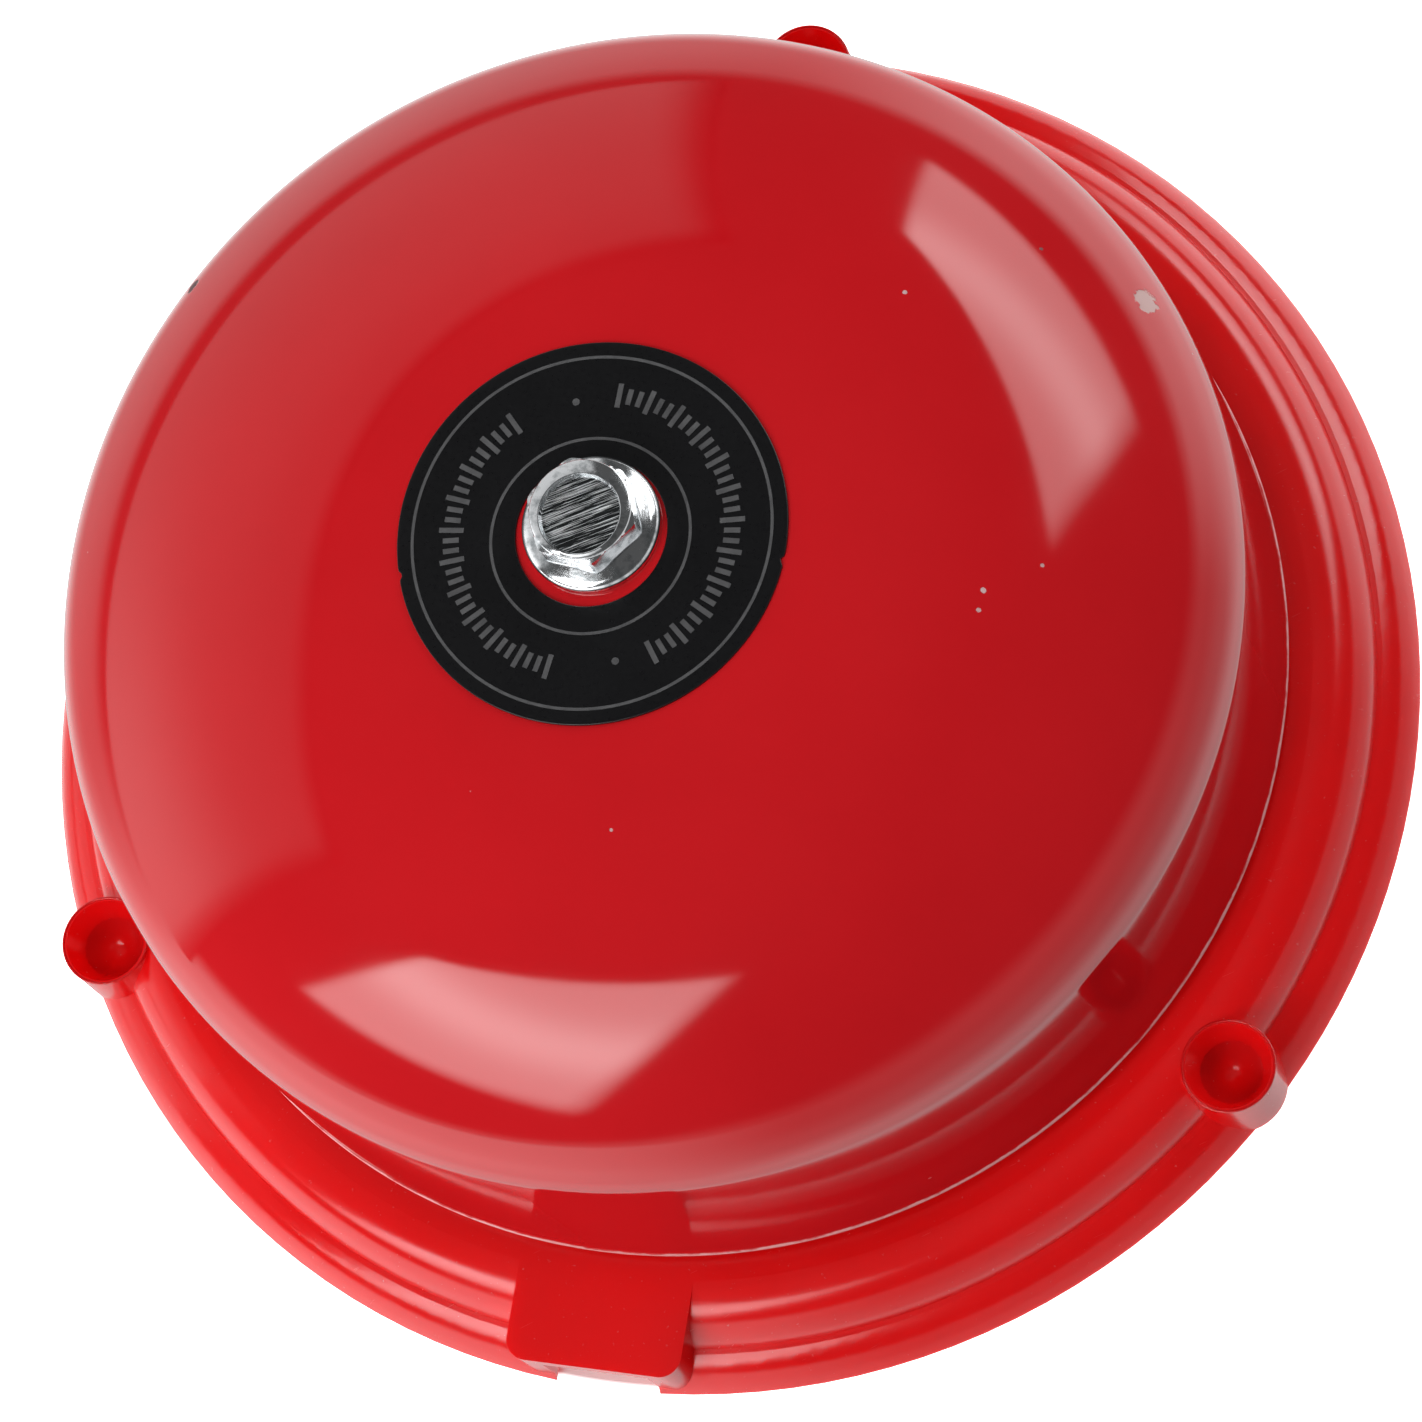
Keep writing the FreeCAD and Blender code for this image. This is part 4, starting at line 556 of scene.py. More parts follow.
def make_label():
    """The black printed ring, with a rounded edge and two nicks."""
    low, high = (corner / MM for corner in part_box("gong_label"))
    inner, outer = LABEL_HOLE_RADIUS, high.x
    shoulder_z = high.z - LABEL_ROUND
    profile = [(inner, low.z)]
    profile += line((inner + LABEL_UNDER_INSET, low.z), (outer - LABEL_UNDER_INSET, low.z), 4)
    profile += [(outer, low.z)] + arc(outer - LABEL_ROUND, shoulder_z, LABEL_ROUND, 0, 90, 4)
    profile += line((outer - LABEL_TOP_INSET, high.z), (inner + LABEL_TOP_INSET, high.z), 10)
    profile += arc(inner + LABEL_ROUND, shoulder_z, LABEL_ROUND, 90, 180, 4)
    disc = turned("label_disc", profile, LABEL_STEPS, nicked)
    disc.data.materials.append(MATERIALS["label_black"])
    add_piece(disc, BODY, "label_black", "gong_label")


def slab(outline, bottom, top):
    """The two loops of a flat piece over an outline, in metres."""
    return [[(p.x, p.y, z) for p in outline] for z in (bottom, top)]


def printed_ring(middle, shift, bottom, top):
    """The loops of a thin printed ring of a middle radius in metres."""
    half = RING_WIDTH * MM / 2
    corners = ((middle - half, bottom), (middle + half, bottom), (middle + half, top), (middle - half, top))
    aside = Vector((0, shift * MM, 0))
    return [[polar(r, 360.0 * i / RING_STEPS, z) + aside for r, z in corners] for i in range(RING_STEPS)]


def tick_outline(azimuth, length, middle):
    """The four corners of a radial tick about a middle radius in metres."""
    along = polar(1.0, azimuth, 0.0)
    across = polar(TICK_WIDTH * MM / 2, azimuth + 90.0, 0.0)
    half = length * MM / 2
    return [along * (middle + a * half) + across * b for a, b in ((-1, -1), (1, -1), (1, 1), (-1, 1))]


def make_print():
    """What is printed on the label: two rings, plain radial ticks and two dots."""
    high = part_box("gong_label")[1]
    bottom, top = high.z - PRINT_HEIGHT * MM, high.z + PRINT_HEIGHT * MM
    shapes = [(printed_ring(share * high.x, shift, bottom, top), True) for share, shift in PRINT_RINGS]
    for start, end in TICK_GROUPS:
        count = int((end - start) / TICK_STEP)
        for i in range(count + 1):
            azimuth = start + (end - start) * i / count
            outline = tick_outline(azimuth, TICK_LENGTHS[i % len(TICK_LENGTHS)], TICK_RING * high.x)
            shapes.append((slab(outline, bottom, top), False))
    for azimuth, distance in PRINT_DOTS:
        outline = circle(polar(distance * MM, azimuth, 0.0), DOT_RADIUS, 0.0, DOT_STEPS)
        shapes.append((slab(outline, bottom, top), False))
    marks = mesh_object("label_print", *gather(shapes))
    marks.data.materials.append(PRINT_GREY)
    add_piece(marks, BODY, "label_black")


# ---- the bolt (mm)

BOLT_STEPS = 240
# rows of the head, from the middle of its face outwards
FACE_RINGS = (0.3, 1.2, 2.2, FACE_RADIUS - 0.12)
FACE_EDGE = ((0.0, 0.0), (0.04, 0.06))
RIM_RADIUS = 3.30
RIM_STEPS = ((-0.08, 0.10), (-0.03, 0.02), (0.02, 0.0), (0.08, 0.015))
CROWN_RADIUS = 4.08
CROWN_DROP = 0.36
CROWN_STEPS = ((0.12, 0.68), (0.04, 0.82), (0.0, 1.0))
CROWN_EASE = 0.04
CHAMFER_SLOPE = math.tan(math.radians(30.0))
CHAMFER_SHARES = (0.25, 0.6, 0.9)
HEX_TURN = -39.0
HEX_FLAT = 4.0
HEX_CORNER = 4.5
HEX_POWER = 40
SIDE_SHARES = (0.03, 0.2, 0.4, 0.6, 0.8, 0.94)
FLANGE_RADIUS = 5.58
FLANGE_EDGE = 0.95
FLANGE_ROUND = 0.22
FLANGE_ANGLES = (70, 45, 20, 0, -20, -45, -70, -90)
CONE_SLOPE = 0.5
CONE_SHARES = (0.06, 0.3, 0.6, 0.9)
# below the head
SHANK_RADIUS = 2.43
SEAT_LEDGE = 0.3
NECK_LENGTH = 1.6
THREAD_PITCH = 0.8
THREAD_DEPTH = 0.3
THREAD_ROWS = 8
TIP_LENGTH = 0.4
TIP_CHAMFER = 0.35
TIP_RING = 0.4
SEAT_SLACK = 1e-7
# the raised dashes on the face: middle radius, half sizes, (height, size), outline
DASH_AZIMUTHS = (27.0, 147.0, 267.0)
DASH_MIDDLE = 2.05
DASH_HALF_LENGTH = 0.55
DASH_HALF_WIDTH = 0.14
DASH_LAYERS = ((-0.05, 1.0), (0.03, 1.0), (0.06, 0.75))
DASH_OUTLINE = ((-1, -0.6), (-0.92, -1), (0.92, -1), (1, -0.6), (1, 0.6), (0.92, 1), (-0.92, 1), (-1, 0.6))


def hexagon_radius(azimuth):
    """The head's outline: flats at HEX_FLAT, corners eased to HEX_CORNER."""
    from_flat = (azimuth - HEX_TURN + 30.0) % 60.0 - 30.0
    straight = HEX_FLAT / math.cos(math.radians(from_flat))
    return (straight ** -HEX_POWER + HEX_CORNER ** -HEX_POWER) ** (-1 / HEX_POWER)


def even(radius, height):
    """A round row of the bolt."""
    return [(radius, height)] * BOLT_STEPS


def between(first, second, share):
    """A row part of the way from one row to another."""
    return [(r + (s - r) * share, z + (w - z) * share) for (r, z), (s, w) in zip(first, second)]


def head_rows(top, seat):
    """Rows of (radius, height) from the face's middle to the flange's foot, and how many are the face's."""
    flange_top = seat + FLANGE_EDGE
    rows = [even(radius, top - FACE_DEPTH) for radius in FACE_RINGS]
    rows += [even(FACE_RADIUS + out, top - FACE_DEPTH + up) for out, up in FACE_EDGE]
    rows += [even(RIM_RADIUS + out, top - drop) for out, drop in RIM_STEPS]
    face_rows = len(rows)
    rows += [even(CROWN_RADIUS - inward, top - CROWN_DROP * share) for inward, share in CROWN_STEPS]
    radii = [hexagon_radius(360.0 * i / BOLT_STEPS) for i in range(BOLT_STEPS)]
    edge_top = top - CROWN_DROP - CROWN_EASE
    edge = [(r, edge_top - max(r - CROWN_RADIUS, 0.0) * CHAMFER_SLOPE) for r in radii]
    foot = [(r, flange_top + (FLANGE_RADIUS - r) * CONE_SLOPE) for r in radii]
    brim = even(FLANGE_RADIUS - FLANGE_ROUND, flange_top + FLANGE_ROUND * CONE_SLOPE)
    rows += [between(rows[-1], edge, share) for share in CHAMFER_SHARES] + [edge]
    rows += [between(edge, foot, share) for share in SIDE_SHARES]
    rows += [between(foot, brim, share) for share in CONE_SHARES]
    half = FLANGE_EDGE / 2
    for angle in FLANGE_ANGLES:
        a = math.radians(angle)
        radius = FLANGE_RADIUS - FLANGE_ROUND + FLANGE_ROUND * math.cos(a)
        rows.append(even(radius, seat + half + half * math.sin(a)))
    return rows, face_rows


def shank_rows(seat, tip):
    """Rows of (radius, height) down the shank: a plain neck, then a thread that fades at both ends."""
    thread_top = seat - NECK_LENGTH
    rows = [even(SHANK_RADIUS + SEAT_LEDGE, seat), even(SHANK_RADIUS, seat), even(SHANK_RADIUS, thread_top)]
    step = THREAD_PITCH / THREAD_ROWS
    count = int((thread_top - tip - TIP_LENGTH) / step)
    for i in range(1, count):
        z = thread_top - i * step
        depth = THREAD_DEPTH * min(1.0, i / THREAD_ROWS, (count - i) / THREAD_ROWS)
        phases = [(z / THREAD_PITCH + k / BOLT_STEPS) % 1.0 for k in range(BOLT_STEPS)]
        rows.append([(SHANK_RADIUS - depth * (1.0 - abs(2.0 * phase - 1.0)), z) for phase in phases])
    return rows + [even(SHANK_RADIUS - TIP_CHAMFER, tip), even(TIP_RING, tip)]


def dash_loops(azimuth, face_z):
    """The loops of one raised dash on the face."""
    along = polar(1.0, azimuth, 0.0)
    across = polar(DASH_HALF_WIDTH * MM, azimuth + 90.0, 0.0)
    loops = []
    for up, size in DASH_LAYERS:
        lift = Vector((0, 0, (face_z + up) * MM)) + (HEAD_SHIFT + FACE_SHIFT) * MM
        loops.append([along * ((DASH_MIDDLE + a * DASH_HALF_LENGTH * size) * MM) + across * (b * size) + lift
                      for a, b in DASH_OUTLINE])
    return loops


def make_bolt():
    """The hexagon flange bolt: dished face, rounded crown, chamfer, hexagon, flange and threaded shank."""
    low, high = (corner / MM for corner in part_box("gong_bolt"))
    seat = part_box("gong")[1].z / MM
    rows, face_rows = head_rows(high.z, seat)
    rows += shank_rows(seat, low.z)
    loops = [[polar(r * MM, 360.0 * i / BOLT_STEPS, z * MM) for i, (r, z) in enumerate(row)] for row in rows]
    loops = [[p + FACE_SHIFT * MM for p in loop] for loop in loops[:face_rows]] + loops[face_rows:]
    lowest = seat * MM - SEAT_SLACK
    loops = [[p + HEAD_SHIFT * MM if p.z >= lowest else p for p in loop] for loop in loops]
    shapes = [(loops, False)]
    shapes += [(dash_loops(azimuth, high.z - FACE_DEPTH), False) for azimuth in DASH_AZIMUTHS]
    bolt = mesh_object("hex_bolt", *gather(shapes), sharp_angle=32.0)
    bolt.data.materials.append(MATERIALS["zinc_bolt"])
    add_piece(bolt, BODY, "zinc_bolt", "gong_bolt")


# ---- screw lugs (mm)

LUG_CIRCLE = 56.5
LUG_AZIMUTHS = (90.0, 210.0, 330.0)
WEB_RADIUS = 2.60
WEB_EDGE_Z = 4.64
WEB_SAG = 2.20
WEB_THICKNESS = 0.35
WEB_RINGS = (0.05, 0.2, 0.35, 0.5, 0.65, 0.8, 0.9, 1.0)
WEB_STEPS = 36
LAND_Z = 6.8
LIP_RADIUS = 3.80
LIP_WIRE = 0.11
LIP_STEPS = 72


def make_lug_webs():
    """A thin dished web at the bottom of each screw recess, and a fine round lip at its mouth."""
    upper = [(WEB_RADIUS * share, WEB_EDGE_Z - WEB_SAG * (1.0 - share ** 2)) for share in WEB_RINGS]
    web = upper + [(r, z - WEB_THICKNESS) for r, z in reversed(upper)]
    lip = arc(LIP_RADIUS, LAND_Z, LIP_WIRE, 0, 340, 17)
    shapes = []
    for azimuth in LUG_AZIMUTHS:
        centre = polar(LUG_CIRCLE * MM, azimuth, 0.0)
        shapes.append(([circle(centre, r, z, WEB_STEPS) for r, z in web], False))
        shapes.append(([circle(centre, r, z, LIP_STEPS) for r, z in lip], True))
    webs = mesh_object("lug_webs", *gather(shapes))
    webs.data.materials.append(MATERIALS["base_plastic"])
    add_piece(webs, BODY, "base_plastic")


# ---- spring and windings (mm)

SPRING_TURNS = 7.4
CLOSED_TURNS = 1.0
TURN_STEPS = 40
WIRE_RADIUS = 0.3
WIRE_SIDES = 12
COIL_AZIMUTHS = (90.0, 210.0, 330.0)
COIL_RANGE = (3.1, 5.8)
COIL_HALF_WIDTH = 2.9
COIL_OVERHANG = 1.2
COIL_CORNER = 1.1
NECK_HALF_WIDTH = 1.32
NECK_CORNER = 0.2
NECK_GAP = 0.02
CORNER_POINTS = 9
MAGNET_WIRE = 0.3
ROWS_PER_WIRE = 8


def spring_advance(turns, room):
    """How far along a wire has got after some turns: closed at both ends, even between."""
    closed = 2 * WIRE_RADIUS * CLOSED_TURNS
    if turns < CLOSED_TURNS:
        return closed * turns / CLOSED_TURNS
    if turns > SPRING_TURNS - CLOSED_TURNS:
        return room - closed * (SPRING_TURNS - turns) / CLOSED_TURNS
    share = (turns - CLOSED_TURNS) / (SPRING_TURNS - 2 * CLOSED_TURNS)
    return closed + (room - 2 * closed) * share


def make_spring():
    """The striker's compression spring: round wire, closed end turns."""
    low, high = (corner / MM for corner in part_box("striker_spring"))
    centre_z = (low.z + high.z) / 2
    mean = (high.z - low.z) / 2 - WIRE_RADIUS
    start, end = high.x - WIRE_RADIUS, low.x + WIRE_RADIUS
    along = Vector((-1, 0, 0))
    angles = [2 * math.pi * k / WIRE_SIDES for k in range(WIRE_SIDES)]
    steps = int(SPRING_TURNS * TURN_STEPS)
    loops = []
    for i in range(steps + 1):
        turns = SPRING_TURNS * i / steps
        turn = 2 * math.pi * turns
        out = Vector((0, math.cos(turn), math.sin(turn)))
        middle = Vector((start - spring_advance(turns, start - end), 0, centre_z)) + out * mean
        loops.append([(middle + (out * math.cos(a) + along * math.sin(a)) * WIRE_RADIUS) * MM
                      for a in angles])
    spring = mesh_object("spring_wire", *skin(loops), sharp_angle=60.0)
    spring.data.materials.append(MATERIALS["spring_steel"])
    add_piece(spring, BODY, "spring_steel", "striker_spring")
    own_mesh(spring)


def rounded_box(half_width, half_height, corner):
    """Points (across, up) round a rectangle with rounded corners."""
    found = []
    for quarter, (sx, sz) in enumerate(((1, 1), (-1, 1), (-1, -1), (1, -1))):
        for i in range(CORNER_POINTS):
            a = math.radians(90 * quarter + 90 * i / (CORNER_POINTS - 1))
            found.append((sx * (half_width - corner) + corner * math.cos(a),
                          sz * (half_height - corner) + corner * math.sin(a)))
    return found


def coil_loops(azimuth, middle_z, neck_half_height):
    """Loops of one coil: ridged by its wire outside, plain along the pole's neck inside."""
    along = polar(1.0, azimuth, 0.0)
    across = polar(1.0, azimuth + 90.0, 0.0)
    first, last = COIL_RANGE
    rows = int((last - first) / MAGNET_WIRE * ROWS_PER_WIRE)
    outer = rounded_box(COIL_HALF_WIDTH, neck_half_height + COIL_OVERHANG - NECK_GAP, COIL_CORNER)
    inner = rounded_box(NECK_HALF_WIDTH, neck_half_height, NECK_CORNER)

    def place(distance, a, b):
        return (along * distance + across * a + Vector((0, 0, middle_z + b))) * MM

    loops = []
    for i in range(rows + 1):
        distance = first + (last - first) * i / rows
        loop = []
        for k, (a, b) in enumerate(outer):
            phase = ((distance - first) / MAGNET_WIRE + k / len(outer)) % 1.0
            sink = MAGNET_WIRE / 2 * (1.0 - math.sqrt(max(0.0, 1.0 - (2.0 * phase - 1.0) ** 2)))
            share = 1.0 - sink / COIL_HALF_WIDTH
            loop.append(place(distance, a * share, b * share))
        loops.append(loop)
    return loops + [[place(distance, a, b) for a, b in inner] for distance in (last, first)]


def make_windings():
    """Three coils of enamelled wire, one round each pole neck."""
    low, high = (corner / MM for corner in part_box("rotor_core"))
    middle_z = (low.z + high.z) / 2
    neck_half_height = (high.z - low.z) / 2 + NECK_GAP
    shapes = [(coil_loops(azimuth, middle_z, neck_half_height), True) for azimuth in COIL_AZIMUTHS]
    coils = mesh_object("wound_coils", *gather(shapes), sharp_angle=60.0)
    coils.data.materials.append(MATERIALS["enamelled_copper"])
    add_piece(coils, "rotor", "enamelled_copper", "rotor_windings")


# ---- studio (metres, degrees)

FLOOR_HALF = 2.5
FLOOR_STEPS = 20
FLOOR_GAP = 0.0002
FLOOR_GLOW = 1.35
# the floor glows only outside this radius, mm; the disc inside is left without glow as painted shade under
# the bell
FLOOR_SHADE_RADIUS = 59.6
FLOOR_SHADE_SOFT = 0.4

# the sheet overhead
FILL_HALF = 0.9
FILL_HEIGHT = 1.0
FILL_GLOW = 0.92
FILL_MIDDLE = (-0.42, -0.02)
FILL_STEPS = 12
FILL_EDGE = 0.3

# the upright panels: name, the point they are seen from, azimuth, corners (sideways, height) from top right
# anticlockwise, even glow, and a brighter stripe (extra glow, elevation, half width)
PANELS = (
    ("panel_front", (0.0, -0.038, 0.040), -85.0,
     ((0.15, 1.0), (-0.80, 1.05), (-1.1, 0.50), (-0.18, 0.35)), 4.7, (3.0, 38.0, 6.0)),
    ("panel_side", (0.030, 0.022, 0.040), 22.0,
     ((1.2, 0.85), (0.08, 0.80), (0.25, 0.30), (1.3, 0.28)), 3.2, (2.4, 30.0, 6.0)),
)
PANEL_DISTANCE = 0.7
PANEL_STEPS = 28
PANEL_EDGE = 0.06

# the reflector on the left: where it starts and ends, its top's elevation, its glow at either end
WALL_START, WALL_END = 102.0, 208.0
WALL_TOP, WALL_ARCH = 42.0, 9.0
WALL_GLOW_FIRST, WALL_GLOW_LAST = 0.65, 1.5
WALL_HIGH_GLOW = 0.60
WALL_DISTANCE = 0.8
WALL_FOOT = 0.04
WALL_COLUMNS, WALL_ROWS = 54, 26
# shares of its length between which the glow changes over
WALL_CHANGE, WALL_CHANGE_OVER = 0.5, 0.4
# elevations: where the high glow sets in, where it dims further, and how soft the edges are
WALL_HIGH_FROM, WALL_HIGH_OVER = 6.0, 28.0
WALL_DIM, WALL_DIM_FROM, WALL_DIM_OVER = 0.3, 30.0, 20.0
WALL_TOP_SOFT = 2.0
WALL_START_SOFT, WALL_END_SOFT = 6.0, 5.0

# the room's pale band: glow above and below the horizon away from the lamps, and what each lamp's spill adds
BAND_ABOVE, SPILL_ABOVE = 0.6, 1.7
BAND_BELOW, SPILL_BELOW = 0.85, 1.25
# azimuth, half width, share of the spill
SPILLS = ((-125.0, 55.0, 1.0), (60.0, 40.0, 0.85))
# the band's upper edge as a sine of elevation: its middle, and how far it rises towards one side
EDGE_MIDDLE, EDGE_TILT, EDGE_SIDE = 0.16, 0.26, -40.0
SKY_EDGE_SOFT = 0.03
SKY_ROOM = 0.08
GROUND_GLOW = 1.30
GROUND_DEEP = 0.85
# sines of elevation between which one glow turns into the next
BELOW_TO_ABOVE = (-0.21, 0.10)
BAND_TO_GROUND = (-0.34, -0.62)
GROUND_TO_DEEP = (-0.70, -0.86)
# extra light on matt surfaces, and the side from which less falls and how much less
MATT_LIFT = 0.36
DIM_SIDE = -45.0
DIM_SHARE = 0.75
DIM_RANGE = (0.15, 0.80)

AIM = Vector((-0.83, -0.85, 0.0)) * MM
CAMERA_DISTANCE = 0.45
CAMERA_AZIMUTH = -44.677
CAMERA_ELEVATION = 69.061
CAMERA_ROLL = -37.855
LENS = 132.0
SENSOR = 36.0


def floor_material():
    """Pale matt board that glows a little, so that no shadow shows on it, except in a disc under the bell
    that is left without glow as painted shade.
    """
    material, tree, shader, place = new_material("floor_board")
    tone = blend_colour(tree, noise_at(tree, place, 6.0, 3.0), (0.86, 0.86, 0.86), (0.90, 0.90, 0.90))
    set_shader(tree, shader, tone, spread(tree, noise_at(tree, place, 40.0), 0.3, 0.7, 0.85, 0.95),
               bumped(tree, noise_at(tree, place, 300.0), 1e-6))
    shader.inputs["Specular IOR Level"].default_value = 0.0
    # no glow inside the bell's footprint: painted shade on the floor under the bell
    away = node(tree, "ShaderNodeVectorMath", {0: place}, operation="LENGTH").outputs["Value"]
    inner = (FLOOR_SHADE_RADIUS - FLOOR_SHADE_SOFT) * MM
    lit = spread(tree, away, inner, FLOOR_SHADE_RADIUS * MM, 0.0, FLOOR_GLOW)
    shader.inputs["Emission Color"].default_value = (1.0, 1.0, 1.0, 1.0)
    tree.links.new(lit, shader.inputs["Emission Strength"])
    return material


def make_floor():
    """The floor, which neither lights the bell nor is mirrored in it."""
    z = CAD_BOX[0].z - FLOOR_GAP
    places = [FLOOR_HALF * (2 * i / FLOOR_STEPS - 1) for i in range(FLOOR_STEPS + 1)]
    points = [(x, y, z) for x in places for y in places]
    floor = mesh_object("floor", points, grid_faces(len(places), len(places)))
    floor.data.materials.append(floor_material())
    floor.visible_glossy = False
    floor.visible_diffuse = False


def panel_material():
    """Light whose strength is stored on the panel's points."""
    material = bpy.data.materials.new("panel_glow")
    material.use_nodes = True
    tree = material.node_tree
    tree.nodes.remove(tree.nodes["Principled BSDF"])
    glow = node(tree, "ShaderNodeAttribute", attribute_name="glow")
    light = node(tree, "ShaderNodeEmission", {"Strength": glow.outputs["Fac"]})
    tree.links.new(light.outputs[0], tree.nodes["Material Output"].inputs["Surface"])
    material.cycles.emission_sampling = "FRONT_BACK"
    return material


def smooth_step(value):
    """0 below 0, 1 above 1, smooth between."""
    t = min(1.0, max(0.0, value))
    return t * t * (3 - 2 * t)


def make_panel(name, rows, material):
    """A glowing sheet from rows of (point, radiance)."""
    points = [p for row in rows for p, _ in row]
    sheet = mesh_object(name, points, grid_faces(len(rows), len(rows[0])))
    attribute = sheet.data.attributes.new("glow", "FLOAT", "POINT")
    attribute.data.foreach_set("value", [g for row in rows for _, g in row])
    sheet.data.materials.append(material)
    sheet.visible_camera = False


def make_fill(material):
    """A wide soft sheet overhead that lights matt surfaces but isn't mirrored by glossy ones."""
    rows = []
    for i in range(FILL_STEPS + 1):
        u = 2 * i / FILL_STEPS - 1
        row = []
        for j in range(FILL_STEPS + 1):
            v = 2 * j / FILL_STEPS - 1
            fade = smooth_step((1 - abs(u)) / FILL_EDGE) * smooth_step((1 - abs(v)) / FILL_EDGE)
            x, y = FILL_MIDDLE[0] + u * FILL_HALF, FILL_MIDDLE[1] + v * FILL_HALF
            row.append((Vector((x, y, FILL_HEIGHT)), FILL_GLOW * fade))
        rows.append(row)
    make_panel("panel_fill", rows, material)
    bpy.data.objects["panel_fill"].visible_glossy = False


def softbox(name, seen_from, azimuth, corners, glow, stripe, material):
    """A four-cornered panel in an upright plane, with soft edges and a brighter stripe across it."""
    out = polar(1.0, azimuth, 0.0)
    aside = polar(1.0, azimuth + 90.0, 0.0)
    tr, tl, bl, br = [Vector(c) for c in corners]
    foot = Vector((seen_from[0], seen_from[1], 0)) + out * PANEL_DISTANCE
    peak, centre, width = stripe
    rows = []
    for i in range(PANEL_STEPS + 1):
        v = i / PANEL_STEPS
        row = []
        for j in range(PANEL_STEPS + 1):
            u = j / PANEL_STEPS
            t, z = tr.lerp(tl, u).lerp(br.lerp(bl, u), v)
            point = foot + aside * t + Vector((0, 0, z))
            away = point - Vector(seen_from)
            elevation = math.degrees(math.atan2(away.z, math.hypot(away.x, away.y)))
            bright = glow + peak * math.exp(-((elevation - centre) / width) ** 2)
            fade = smooth_step(min(u, 1 - u) / PANEL_EDGE) * smooth_step(min(v, 1 - v) / PANEL_EDGE)
            row.append((point, bright * fade))
        rows.append(row)
    make_panel(name, rows, material)


def wall_row(azimuth, top, low_glow):
    """One upright line of the wall: (point, radiance) from its foot to its soft top edge."""
    start_side = smooth_step((azimuth - WALL_START) / WALL_START_SOFT)
    end_side = smooth_step((WALL_END - azimuth) / WALL_END_SOFT)
    end_top = top + WALL_TOP_SOFT
    row = []
    for i in range(WALL_ROWS + 1):
        elevation = end_top * i / WALL_ROWS
        share = smooth_step((elevation - WALL_HIGH_FROM) / WALL_HIGH_OVER)
        glow = low_glow + (min(WALL_HIGH_GLOW, low_glow) - low_glow) * share
        glow *= 1.0 - WALL_DIM * smooth_step((elevation - WALL_DIM_FROM) / WALL_DIM_OVER)
        glow *= smooth_step((end_top - elevation) / (2 * WALL_TOP_SOFT)) * start_side * end_side
        height = WALL_FOOT + WALL_DISTANCE * math.tan(math.radians(elevation))
        row.append((polar(WALL_DISTANCE, azimuth, height), glow))
    return row


def make_wall(material):
    """The long soft reflector on the left, bent round the bell and arched on top."""
    rows = []
    for i in range(WALL_COLUMNS + 1):
        share = i / WALL_COLUMNS
        azimuth = WALL_START + (WALL_END - WALL_START) * share
        change = smooth_step((share - WALL_CHANGE) / WALL_CHANGE_OVER)
        low_glow = WALL_GLOW_FIRST + (WALL_GLOW_LAST - WALL_GLOW_FIRST) * change
        rows.append(wall_row(azimuth, WALL_TOP + WALL_ARCH * math.sin(math.pi * share), low_glow))
    make_panel("panel_wall", rows, material)


def towards(tree, direction, azimuth):
    """How far a direction points towards a level azimuth, as a cosine."""
    return node(tree, "ShaderNodeVectorMath", {0: direction, 1: polar(1.0, azimuth, 0.0)},
                operation="DOT_PRODUCT").outputs["Value"]


def lamp_spill(tree, flat):
    """What the lamps add to the band, from 0 away from them to 1 straight under one."""
    total = 0.0
    for azimuth, width, share in SPILLS:
        lobe = node(tree, "ShaderNodeMapRange", {"Value": towards(tree, flat, azimuth), "To Max": share,
            "From Min": math.cos(math.radians(width)), "From Max": 1.0},
                    interpolation_type="SMOOTHSTEP").outputs["Result"]
        total = maths(tree, "ADD", total, lobe)
    return total


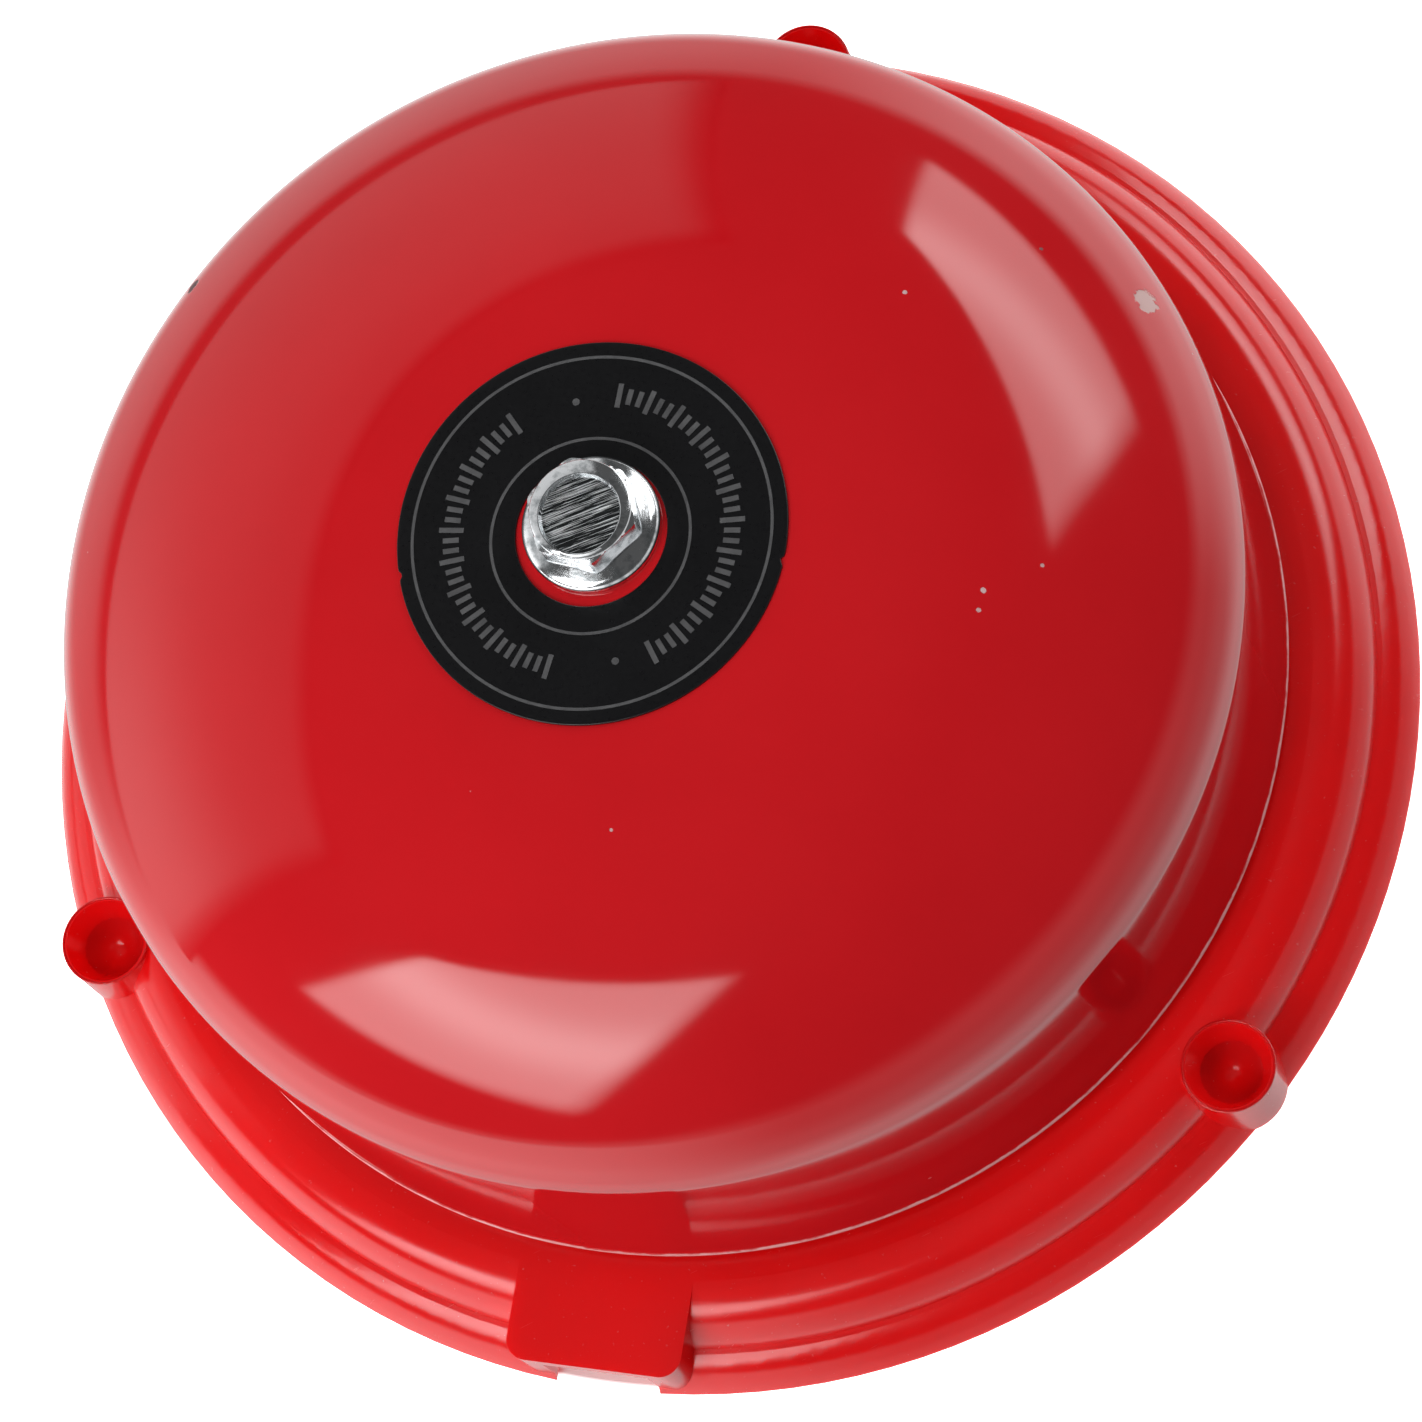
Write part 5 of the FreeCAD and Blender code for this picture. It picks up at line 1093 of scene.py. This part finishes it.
def make_world():
    """What the paint mirrors of the room: a pale band round the horizon; the camera sees plain white."""
    world = bpy.data.worlds.new("studio")
    world.use_nodes = True
    tree = world.node_tree
    background = tree.nodes["Background"]
    direction = node(tree, "ShaderNodeTexCoord").outputs["Generated"]
    height = node(tree, "ShaderNodeSeparateXYZ", {"Vector": direction}).outputs["Z"]
    level = node(tree, "ShaderNodeVectorMath", {0: direction, 1: (1.0, 1.0, 0.0)}, operation="MULTIPLY")
    flat = node(tree, "ShaderNodeVectorMath", {0: level.outputs[0]}, operation="NORMALIZE").outputs[0]
    spill = lamp_spill(tree, flat)
    above = maths(tree, "ADD", maths(tree, "MULTIPLY", spill, SPILL_ABOVE), BAND_ABOVE)
    below = maths(tree, "ADD", maths(tree, "MULTIPLY", spill, SPILL_BELOW), BAND_BELOW)
    band = mixed_value(tree, spread(tree, height, *BELOW_TO_ABOVE), below, above)
    band = mixed_value(tree, spread(tree, height, *BAND_TO_GROUND), band, GROUND_GLOW)
    band = mixed_value(tree, spread(tree, height, *GROUND_TO_DEEP), band, GROUND_DEEP)
    edge = maths(tree, "ADD", maths(tree, "MULTIPLY", towards(tree, flat, EDGE_SIDE), EDGE_TILT), EDGE_MIDDLE)
    over = maths(tree, "SUBTRACT", height, edge)
    glow = mixed_value(tree, spread(tree, over, -SKY_EDGE_SOFT, SKY_EDGE_SOFT), band, SKY_ROOM)
    light_path = node(tree, "ShaderNodeLightPath").outputs
    facing = towards(tree, direction, DIM_SIDE)
    lift = maths(tree, "MULTIPLY", spread(tree, facing, *DIM_RANGE, MATT_LIFT, -DIM_SHARE),
                 light_path["Is Diffuse Ray"])
    glow = maths(tree, "MULTIPLY", glow, maths(tree, "ADD", 1.0, lift))
    tree.links.new(glow, background.inputs["Strength"])
    background.inputs["Color"].default_value = (1.0, 1.0, 1.0, 1.0)
    plain = node(tree, "ShaderNodeBackground", {"Color": (1.0, 1.0, 1.0, 1.0), "Strength": 1.0})
    mixed = node(tree, "ShaderNodeMixShader", {0: light_path["Is Camera Ray"], 1: background.outputs[0],
            2: plain.outputs[0]})
    tree.links.new(mixed.outputs[0], tree.nodes["World Output"].inputs["Surface"])
    bpy.context.scene.world = world


def make_camera():
    """Looks down at the bell from the lower right of its outlet, rolled to the view's framing."""
    level = math.radians(CAMERA_ELEVATION)
    back = polar(math.cos(level), CAMERA_AZIMUTH, math.sin(level))
    roll = math.radians(CAMERA_ROLL)
    level_right = (-back).cross(Vector((0, 0, 1))).normalized()
    level_up = level_right.cross(-back)
    right = level_right * math.cos(roll) + level_up * math.sin(roll)
    up = back.cross(right)
    camera = bpy.data.cameras.new("camera")
    camera.lens = LENS
    camera.sensor_width = SENSOR
    camera.clip_start = 0.01
    camera.clip_end = 50.0
    thing = bpy.data.objects.new("camera", camera)
    bpy.context.scene.collection.objects.link(thing)
    matrix = thing.matrix_world.copy()
    for row in range(3):
        matrix[row][0] = right[row]
        matrix[row][1] = up[row]
        matrix[row][2] = back[row]
        matrix[row][3] = (AIM + back * CAMERA_DISTANCE)[row]
    thing.matrix_world = matrix
    bpy.context.scene.camera = thing


# ---- the scene

for cad_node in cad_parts.values():
    for index, material_slot in enumerate(cad_node.material_slots):
        cad_node.data.materials[index] = MATERIALS[material_slot.material.name.split(".")[0]]

make_gong()
make_label()
make_print()
make_bolt()
make_lug_webs()
make_spring()
make_windings()

make_floor()
GLOW = panel_material()
for panel in PANELS:
    softbox(*panel, GLOW)
make_wall(GLOW)
make_fill(GLOW)
make_world()
make_camera()
bpy.context.scene.view_settings.view_transform = "Standard"
